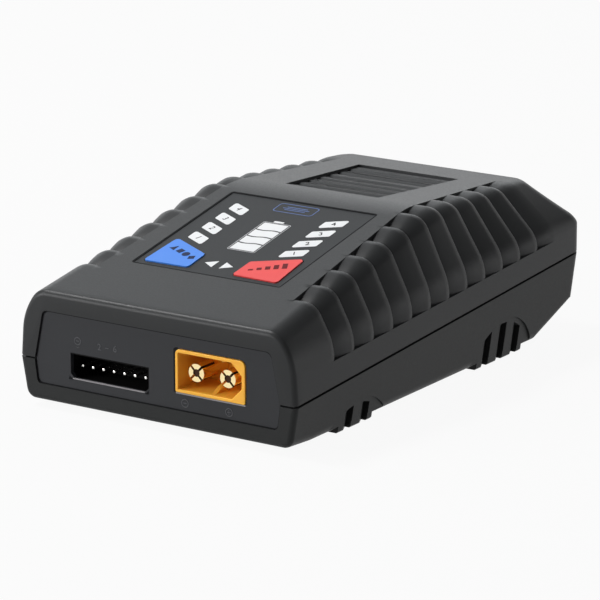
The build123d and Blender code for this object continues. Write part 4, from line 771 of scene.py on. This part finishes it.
# ---------------------------------- print on the label and the keys
LABEL_TOP, KEY_TOP = -0.1, 0.1  # upper faces, above the roof
INK = 0.03  # thickness of a printed layer
FILM = LABEL_TOP + INK
CAP_SHARE = 0.7  # height of a digit, as a share of its font size
DIGIT_CURVES = 4
MERGE = 1e-7  # metres within which a digit's vertices are joined
WINDOW_OVERLAP, WINDOW_ROUND, WINDOW_DIGIT = 0.05, 0.45, 1.35
GAUGE_BARS, GAUGE_INSET, GAUGE_WAVE, GAUGE_GAP = 4, 0.42, 0.22, 0.42
GAUGE_CAP, GAUGE_CAP_ROUND = (GAUGE_X - 0.1, GAUGE_END + 0.52, 2.3, 0.66), 0.15
EDGE_POINTS = 14  # steps along a wavy edge
POINTER = [(3.3, 21.9), (0.9, 20.5), (0.9, 23.3)]
LABEL_EDGE_TOP = 0.02  # above the roof, so that the painted shade line along the label's edge shows over the pocket's wall
EMBLEM = (0.1, 49.1)  # middle of the blue frame
EMBLEM_BAR, EMBLEM_PITCH, EMBLEM_STEP = (6.2, 0.26), 0.62, 1.4
KEY_ROW = (9.7, 4.7)  # the rows on the keys rise by the second in the first
BAR_LOW, BAR_WIDTH, BAR_FIRST, BAR_STEP = -1.1, 1.0, 0.55, 0.42


def digits(name, items):
    """Plain digits as one mesh, from items of (text, x, y, height, angle, frame, low, high)."""
    mesh = bmesh.new()
    for text, x, y, height, angle, frame_matrix, low, high in items:
        curve = bpy.data.curves.new("digit", "FONT")
        curve.body = text
        curve.size = height / CAP_SHARE
        curve.resolution_u = DIGIT_CURVES
        curve.align_x = "CENTER"
        curve.align_y = "CENTER"
        curve.extrude = (high - low) / 2
        obj = bpy.data.objects.new("digit", curve)
        data = bpy.data.meshes.new_from_object(obj)
        shape = bmesh.new()
        shape.from_mesh(data)
        places = turned([vert.co.xy for vert in shape.verts], x, y, angle)
        for vert, (px, py) in zip(shape.verts, places):
            vert.co = frame_matrix @ (Vector((px, py, vert.co.z + (low + high) / 2)) / MM)
        bmesh.ops.remove_doubles(shape, verts=shape.verts, dist=MERGE)
        bmesh.ops.recalc_face_normals(shape, faces=shape.faces)
        shape.to_mesh(data)
        shape.free()
        mesh.from_mesh(data)
        bpy.data.meshes.remove(data)
        bpy.data.objects.remove(obj)
        bpy.data.curves.remove(curve)
    return finish_mesh(name, mesh)


def gauge_edge(y, wavy):
    """Points of one edge of a bar of the gauge, from left to right."""
    half = (GAUGE_WIDTH - 2 * GAUGE_INSET) / 2
    if not wavy:
        return [(GAUGE_X - half, y), (GAUGE_X + half, y)]
    out = []
    for i in range(EDGE_POINTS + 1):
        u = i / EDGE_POINTS * 2 - 1
        out.append((GAUGE_X + half * u, y + GAUGE_WAVE * math.sin(math.pi * u)))
    return out


def gauge_bars():
    """Outlines of the gauge's bars, with a wavy gap between each two."""
    start = GAUGE_START + GAUGE_INSET
    step = (GAUGE_END - GAUGE_INSET - start) / GAUGE_BARS
    out = []
    for i in range(GAUGE_BARS):
        first, last = i == 0, i == GAUGE_BARS - 1
        low, high = start + i * step, start + (i + 1) * step
        lower = gauge_edge(low if first else low + GAUGE_GAP / 2, not first)
        upper = gauge_edge(high if last else high - GAUGE_GAP / 2, not last)
        out.append(lower + upper[::-1])
    return out


def label_print(name, outlines, material):
    add_piece(prisms(name, [(outline, ROOF_FRAME, LABEL_TOP, FILM) for outline in outlines]),
              "label_film", material=material)


def label_frame(name, middle, size, corner, line, material, top=FILM):
    """A rounded frame of one line's width on the label."""
    outer = round_outline(box_outline(*middle, *size), corner)
    inner = box_outline(*middle, size[0] - 2 * line, size[1] - 2 * line)
    inner = round_outline(inner, corner - line)
    piece = bands(name, [(outer, inner, ROOF_FRAME, LABEL_TOP, top)])
    add_piece(piece, "label_film", material=material)


def key_print(name, shapes, middle, rise, pitch, slot, body, material):
    """A row of shapes on a key, which rises or falls to the right."""
    angle = math.atan2(rise * KEY_ROW[1], KEY_ROW[0])
    items = []
    for k, shape in enumerate(shapes):
        offset = (k - (len(shapes) - 1) / 2) * pitch
        outline = turned(shape, middle[0] + math.cos(angle) * offset,
                         middle[1] + math.sin(angle) * offset, angle)
        items.append((outline, ROOF_FRAME, KEY_TOP, KEY_TOP + INK))
    add_piece(prisms(name, items), slot, body=body, material=material)


# windows, gauge and two plain pointers, one towards each key
label_print("label_white_print", [
    *(round_outline(window_outline(i, side, WINDOW_OVERLAP), WINDOW_ROUND)
      for side in (-1, 1) for i in range(WINDOWS)),
    *gauge_bars(), round_outline(box_outline(*GAUGE_CAP), GAUGE_CAP_ROUND),
    mirrored(POINTER), POINTER,
], INK_WHITE)
label_frame("gauge_frame_print", (GAUGE_X, (GAUGE_START + GAUGE_END) / 2),
            (GAUGE_WIDTH, GAUGE_END - GAUGE_START), corner=0.35, line=0.14, material=INK_PALE)
# a dark line painted round the label as the shade at the pocket's edge
label_frame("label_edge_painted_shade", (0, (LABEL_START + LABEL_END) / 2),
            (2 * LABEL_HALF, LABEL_END - LABEL_START), corner=0.5, line=0.26, material=DARK_INK_AND_SHADE,
            top=LABEL_EDGE_TOP)
label_frame("blue_frame_print", EMBLEM, (9.4, 3.9), corner=0.9, line=0.22, material=INK_BLUE)
label_print("blue_bar_print", [
    box_outline(EMBLEM[0], EMBLEM[1] + k * EMBLEM_PITCH, EMBLEM_BAR[0] - abs(k) * EMBLEM_STEP,
                EMBLEM_BAR[1]) for k in (-1, 0, 1)
], INK_BLUE)
WINDOW_TURN = math.atan2(WINDOW_SLANT, WINDOW_WIDTH)
add_piece(digits("window_numbers", [
    (str(i + 1), side * WINDOW_X, WINDOW_AT + i * WINDOW_PITCH, WINDOW_DIGIT, WINDOW_TURN * side,
     ROOF_FRAME, FILM, FILM + INK) for side in (-1, 1) for i in range(WINDOWS)
]), "label_film", material=DARK_INK_AND_SHADE)
# plain shapes on the blue key, and bars of growing height on the red one
key_print("mode_key_print", [
    [(-0.8, -0.85), (0.8, -0.85), (0.0, 0.85)],
    box_outline(0, 0, 1.45, 1.45),
    circle(0, 0, 0.86, 24),
    [(-0.85, 0), (0, -0.95), (0.85, 0), (0, 0.95)],
], (-9.9, 24.0), rise=-1, pitch=2.15, slot="key_blue", body="mode_key_body", material=INK_NAVY)
BARS = [BAR_FIRST + BAR_STEP * k for k in range(5)]
key_print("current_key_print", [
    box_outline(0, bar / 2 + BAR_LOW, BAR_WIDTH, bar) for bar in BARS
], (10.1, 23.9), rise=1, pitch=1.65, slot="key_red", body="current_key_body", material=INK_MAROON)

# ---------------------------------- ports and marks of the panel
# Heights are along the front frame's z, which is outwards: what lies inside has a negative one.
FACE = -0.35  # front of the panel
BATTERY, BALANCE = (12.7, 12.55, 15.9, 8.4), (-11.1, 9.3, 18.8, 5.1)  # middle, width, height
THROUGH = (-20, 2)  # heights of the bores
BATTERY_PINS = (9.1, 16.3)
BATTERY_ROUNDS, BATTERY_STEPS = [0.35, 0.35, 1.2, 1.0], 8
BATTERY_HEIGHTS, CAVITY_HEIGHTS = (-12.6, -0.1), (-9.1, 1.0)
COLLAR, COLLAR_ROUND, COLLAR_HEIGHTS = 0.9, 1.1, (-5.5, -3.5)
RIM_LEFT, RIM_RIGHT, RIM_LOW, RIM_HIGH = 0.55, 0.75, 0.6, 0.65
KEYED = 2.3  # width of the cut corners
RIDGES_AT = 0.1  # right of the connector's middle
BORE, SHADE_SLEEVE, SHADE_CORE = 1.76, 1.735, 0.74  # radii of the bores round the pins, and of the dark cylinders of painted shade in the bores and inside the pins
BORE_STEPS, SHADE_CORE_STEPS = 40, 32
SHADE_SLEEVE_HEIGHTS, SHADE_CORE_HEIGHTS = (-8.9, -2.3), (-4.5, -1.1)
BALANCE_CUT = 0.9  # the shroud's lower corners
SHROUD, SHROUD_HEIGHTS = 0.1, (-10.0, FACE - 0.1)
OPENING, OPENING_CUT, OPENING_HEIGHTS = -0.12, 0.05, (-7.6, 1.0)
BALANCE_PINS = [BALANCE[0] - 0.2 + (i - 3) * 2.5 for i in range(7)]
PIN_BORE, PIN_BORE_Z = 0.66, 9.0
PIN_HALF, PIN_LOW, PIN_HIGH, PIN_ROUND, PIN_STEPS = 0.29, 8.77, 9.35, 0.2, 5
PIN_HEIGHTS = (-9.9, -2.3)
PORT_MARGIN = 0.16  # the panel's edge round the balance port
BALANCE_LIP, BATTERY_LIP = 0.2, 0.15  # above and below the lower edges of the ports
SHADOW_WIDTH, SHADOW_ROUNDS = 0.19, [1.0, 0, 1.5, 1.5, 0, 1.0]
SHADOW_HEIGHTS = (FACE - 0.4, FACE + 0.12)


def edges(x, z, width, height, grow=0.0):
    """Left, right, lower and upper edge of a box, grown by an amount."""
    return x - width / 2 - grow, x + width / 2 + grow, z - height / 2 - grow, z + height / 2 + grow


def front_prisms(name, outlines, heights):
    return prisms(name, [(outline, FRONT_FRAME, *heights) for outline in outlines])


def add_to_panel(piece, material=None):
    add_piece(piece, "panel_plastic", material=material)


def make_battery_housing():
    """Connector housing with a thin rim, keyed on its right, ribbed inside behind the pins."""
    left, right, low, high = edges(*BATTERY)
    body = round_outline(rectangle(left, low, right, high), BATTERY_ROUNDS, BATTERY_STEPS)
    housing = front_prisms("battery_housing_form", [body], BATTERY_HEIGHTS)
    collar = rectangle(left - COLLAR, low - COLLAR, right + COLLAR, high + COLLAR)
    collar = front_prisms("collar", [round_outline(collar, COLLAR_ROUND)], COLLAR_HEIGHTS)
    combine(housing, [collar], "UNION")
    left, right, low, high = left + RIM_LEFT, right - RIM_RIGHT, low + RIM_LOW, high - RIM_HIGH
    cavity = [(left, low), (right - KEYED, low), (right, low + KEYED),
              (right, high - KEYED), (right - KEYED, high), (left, high)]
    bores = [circle(x, BATTERY[1], BORE, BORE_STEPS) for x in BATTERY_PINS]
    combine(housing, [front_prisms("cavity", [cavity], CAVITY_HEIGHTS),
                      front_prisms("bores", bores, THROUGH)], "DIFFERENCE")
    # a ridge on the floor that rises inwards, one under the ceiling, and a small tooth at the
    # mouth: (way in, height) of the corners, and the places of the left and the right side
    ridges = (
        ([(0.9, low - 0.2), (9.3, low - 0.2), (9.3, low + 1.3), (4.2, low + 1.3)], -0.5, 0.5),
        ([(2.4, high + 0.2), (4.6, high - 1.1), (9.3, high - 1.1), (9.3, high + 0.2)], -0.5, 0.5),
        ([(0.9, high + 0.2), (0.9, high - 0.5), (2.6, high - 0.5), (2.6, high + 0.2)], 2.1, 2.7),
    )
    sideways = frame_of((BATTERY[0] + RIDGES_AT, -LENGTH / 2, 0), (0, 1, 0), (1, 0, 0))
    mesh = bmesh.new()
    mesh.from_mesh(housing.data)
    for outline, start, end in ridges:
        prism_into(mesh, outline, sideways, start, end)
    mesh.to_mesh(housing.data)
    mesh.free()
    bevel(housing, segments=2, angle=40)
    return housing


def shroud_outline(grow, deeper):
    """The balance port with its cut lower corners."""
    left, right, low, high = edges(*BALANCE, grow)
    corner = BALANCE_CUT - deeper
    return [(left, low + corner), (left + corner, low), (right - corner, low),
            (right, low + corner), (right, high), (left, high)]


def make_balance_housing():
    """Header shroud with thin walls, so that its whole opening is dark from the front."""
    housing = front_prisms("balance_housing_form", [shroud_outline(SHROUD, 0)], SHROUD_HEIGHTS)
    opening = front_prisms("opening", [shroud_outline(OPENING, OPENING_CUT)], OPENING_HEIGHTS)
    bores = [box_outline(x, PIN_BORE_Z, PIN_BORE, PIN_BORE) for x in BALANCE_PINS]
    combine(housing, [opening, front_prisms("bores", bores, THROUGH)], "DIFFERENCE")
    soften(housing, angle=35)
    return housing


def make_balance_pins():
    """Square pins with rounded tips."""
    outlines = [round_outline(rectangle(x - PIN_HALF, PIN_LOW, x + PIN_HALF, PIN_HIGH), PIN_ROUND,
                              PIN_STEPS) for x in BALANCE_PINS]
    row = front_prisms("balance_pin_row", outlines, PIN_HEIGHTS)
    bevel(row, segments=3, angle=60)
    return row


battery_housing = add_piece(make_battery_housing(), "connector_yellow")
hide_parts("battery_connector_housing")
# dark brown cylinders painted as the shade inside the pins' tips and in the bores round them
add_piece(prisms("battery_bore_shade", [
    (circle(x, BATTERY[1], radius, count), FRONT_FRAME, *heights)
    for x in BATTERY_PINS
    for radius, count, heights in ((SHADE_CORE, SHADE_CORE_STEPS, SHADE_CORE_HEIGHTS),
                                   (SHADE_SLEEVE, BORE_STEPS, SHADE_SLEEVE_HEIGHTS))
]), "gold_contact", material=BORE_SHADE)
balance_housing = add_piece(make_balance_housing(), "header_plastic")
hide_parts("balance_port_housing")
pins = add_piece(make_balance_pins(), "tin_contact")
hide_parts("balance_pins")


def add_port_trim():
    """The panel's edge round the balance port, pale strips painted as the highlight on the lips
    under the two ports, and a dark strip painted as the shadow in the gap beside the connector."""
    left, right, low, high = edges(*BALANCE, PORT_MARGIN)
    fill = [(left, low), (right, low), (right, low + 1.3), (right - 0.95, low + 0.36),
            (left + 1.4, low + 0.36), (left + 0.5, low + 1.3), (left + 0.5, high), (left, high)]
    add_to_panel(front_prisms("port_fill", [fill], (FACE - 1.0, FACE)))
    left, right, low, _ = edges(*BALANCE)
    low += BALANCE_LIP
    # pale strips painted as the highlight along the lower lips of the ports
    lip_highlight_strips = [rectangle(left + BALANCE_CUT, low - 0.16, right - BALANCE_CUT, low + 0.04)]
    left, right, low, high = edges(*BATTERY)
    low -= BATTERY_LIP
    lip_highlight_strips.append(rectangle(left, low - 0.2, right, low + 0.06))
    add_to_panel(front_prisms("port_lip_highlights", lip_highlight_strips, (FACE - 0.3, FACE + 0.06)), LIP_HIGHLIGHT)
    # a dark strip painted as the shadow in the gap left of the connector
    gap = [(left - 0.55, low), (left - 0.04, low), (left - 0.04, high - 0.3),
           (left + 0.5, high + 0.06), (left + 0.5, high + 0.3), (left - 0.1, high + 0.24),
           (left - 0.55, high - 0.1)]
    add_to_panel(front_prisms("connector_gap_painted_shadow", [gap], (FACE - 0.1, FACE + 0.01)), DARK_INK_AND_SHADE)


add_port_trim()
# a dark line painted round the panel as the shadow in its gap
shadow_edges = [round_outline(grown(both(FRONT_PANEL), amount), SHADOW_ROUNDS, PANEL_STEPS)
                for amount in (SHADOW_WIDTH, 0.0)]
add_to_panel(bands("panel_shadow_line", [(*shadow_edges, FRONT_FRAME, *SHADOW_HEIGHTS)]), DARK_INK_AND_SHADE)

# faint raised marks of the panel: rings, the polarity signs in them, and plain digits with a dash
MARK_HEIGHTS = (FACE - 0.05, FACE + 0.05)
MARK_LINE, DASH_LINE, MARK_STEPS = 0.17, 0.16, 32
RING, MINUS, PLUS = (-18.4, 14.55, 0.8), (6.8, 6.35, 0.85), (16.9, 6.25, 0.85)  # x, z, radius
PLUS_ARMS = (6.58, 5.92)  # heights of its upright arms
MARK_DIGITS, MARK_DIGIT = (("2", -13.2, 14.1), ("6", -9.5, 14.3)), 1.3
add_to_panel(bands("panel_rings", [
    (*(circle(x, z, radius, MARK_STEPS) for radius in (r, r - MARK_LINE)), FRONT_FRAME,
     *MARK_HEIGHTS) for x, z, r in (RING, MINUS, PLUS)
]), MARK_GREY)
add_to_panel(front_prisms("panel_bars", [
    box_outline(RING[0], RING[1], 0.7, DASH_LINE),
    [(-18.9, 13.5), (-18.4, 13.1), (-17.9, 13.5), (-18.4, 13.3)],
    box_outline(MINUS[0], MINUS[1], 0.8, MARK_LINE),
    box_outline(PLUS[0], PLUS[1], 0.8, MARK_LINE),
    *(box_outline(PLUS[0], z, MARK_LINE, 0.28) for z in PLUS_ARMS),
    box_outline(-11.4, 14.2, 0.8, DASH_LINE),
], MARK_HEIGHTS), MARK_GREY)
add_to_panel(digits("panel_digits", [
    (text, x, z, MARK_DIGIT, 0.0, FRONT_FRAME, *MARK_HEIGHTS) for text, x, z in MARK_DIGITS
]), MARK_GREY)

# ---------------------------------- floor, light and camera
# Sizes and places are in metres from here on.
AMBIENT = 0.28  # light of the surroundings
FLOOR_WHITE = 0.93  # share of plain white that the camera sees in the floor
FLOOR_BELOW = 0.0001  # clear of the undersides of the feet
MATT = (0.42, 0.42, 0.42, 1)
PLAIN = (1, 1, 1, 1)
BACKDROP_RADIUS, BACKDROP_HEIGHT, BACKDROP_STEPS = 3.5, 1.3, 64
TARGET = (0, 0, 0.02)  # what the lights point at
CAMERA_AT = (0.37456, -0.56596, 0.19902)
AZIMUTH, ELEVATION = math.radians(33.66), math.radians(15.29)


def plain_white(name, camera_share):
    """Matt white; camera rays see a share of it as an even white, glossy and transmission rays
    all of it."""
    material, shader = new_material(name)
    set_inputs(material, shader, {"Base Color": MATT, "Roughness": 0.9, "Specular IOR Level": 0.1})
    rays = add_node(material, "LightPath", {}).outputs
    seen = add_node(material, "Math", {
        0: rays["Is Camera Ray"], 1: camera_share}, operation="MULTIPLY")
    through = add_node(material, "Math", {
        0: rays["Is Glossy Ray"], 1: rays["Is Transmission Ray"]}, operation="MAXIMUM")
    share = add_node(material, "Math", {
        0: seen.outputs[0], 1: through.outputs[0]}, operation="MAXIMUM")
    bright = add_node(material, "Emission", {"Color": PLAIN, "Strength": 1.0})
    blend = add_node(material, "MixShader", {
        "Fac": share.outputs[0], 1: shader.outputs["BSDF"], 2: bright.outputs["Emission"]})
    output = material.node_tree.nodes["Material Output"]
    set_inputs(material, output, {"Surface": blend.outputs["Shader"]})
    return material


floor_mesh = bmesh.new()
bmesh.ops.create_circle(floor_mesh, cap_ends=True, segments=BACKDROP_STEPS, radius=BACKDROP_RADIUS)
floor = finish_mesh("floor", floor_mesh)
floor.location.z = -FLOOR_BELOW
paint(floor, plain_white("floor_white", FLOOR_WHITE))
wall_mesh = bmesh.new()
bmesh.ops.create_circle(wall_mesh, segments=BACKDROP_STEPS, radius=BACKDROP_RADIUS)
for element in bmesh.ops.extrude_edge_only(wall_mesh, edges=wall_mesh.edges[:])["geom"]:
    if isinstance(element, bmesh.types.BMVert):
        element.co.z += BACKDROP_HEIGHT
backdrop = finish_mesh("backdrop", wall_mesh)
paint(backdrop, plain_white("backdrop_white", 1.0))

world = bpy.data.worlds.new("studio")
bpy.context.scene.world = world
world.use_nodes = True
background = world.node_tree.nodes["Background"]
background.inputs["Color"].default_value = PLAIN
background.inputs["Strength"].default_value = AMBIENT


def area_light(name, place, size, power, colour=(1, 1, 1)):
    light = bpy.data.lights.new(name, "AREA")
    light.shape = "RECTANGLE"
    light.size, light.size_y = size
    light.energy = power
    light.color = colour
    obj = bpy.data.objects.new(name, light)
    bpy.context.scene.collection.objects.link(obj)
    obj.location = place
    obj.rotation_euler = (Vector(TARGET) - Vector(place)).to_track_quat("-Z", "Y").to_euler()


area_light("back_softbox", (-0.95, 1.15, 0.72), (1.5, 0.9), 5.6, (0.93, 0.97, 1.0))
area_light("top_light", (-0.48, -0.10, 0.80), (0.15, 0.15), 6.4)
area_light("front_light", (-0.70, -0.75, 0.30), (0.5, 0.5), 8.8)
area_light("side_light", (1.00, 0.55, 0.12), (0.5, 0.3), 1.2)

camera_data = bpy.data.cameras.new("camera")
camera_data.sensor_width = 36
camera_data.lens = 210
camera_data.clip_start = 0.01
camera = bpy.data.objects.new("camera", camera_data)
bpy.context.scene.collection.objects.link(camera)
across = Vector((math.cos(AZIMUTH), math.sin(AZIMUTH), 0))
back = Vector((math.sin(AZIMUTH) * math.cos(ELEVATION), -math.cos(AZIMUTH) * math.cos(ELEVATION),
               math.sin(ELEVATION)))
camera.matrix_world = Matrix((across, back.cross(across), back)).transposed().to_4x4()
camera.location = CAMERA_AT
bpy.context.scene.camera = camera
bpy.context.scene.view_settings.view_transform = "Standard"
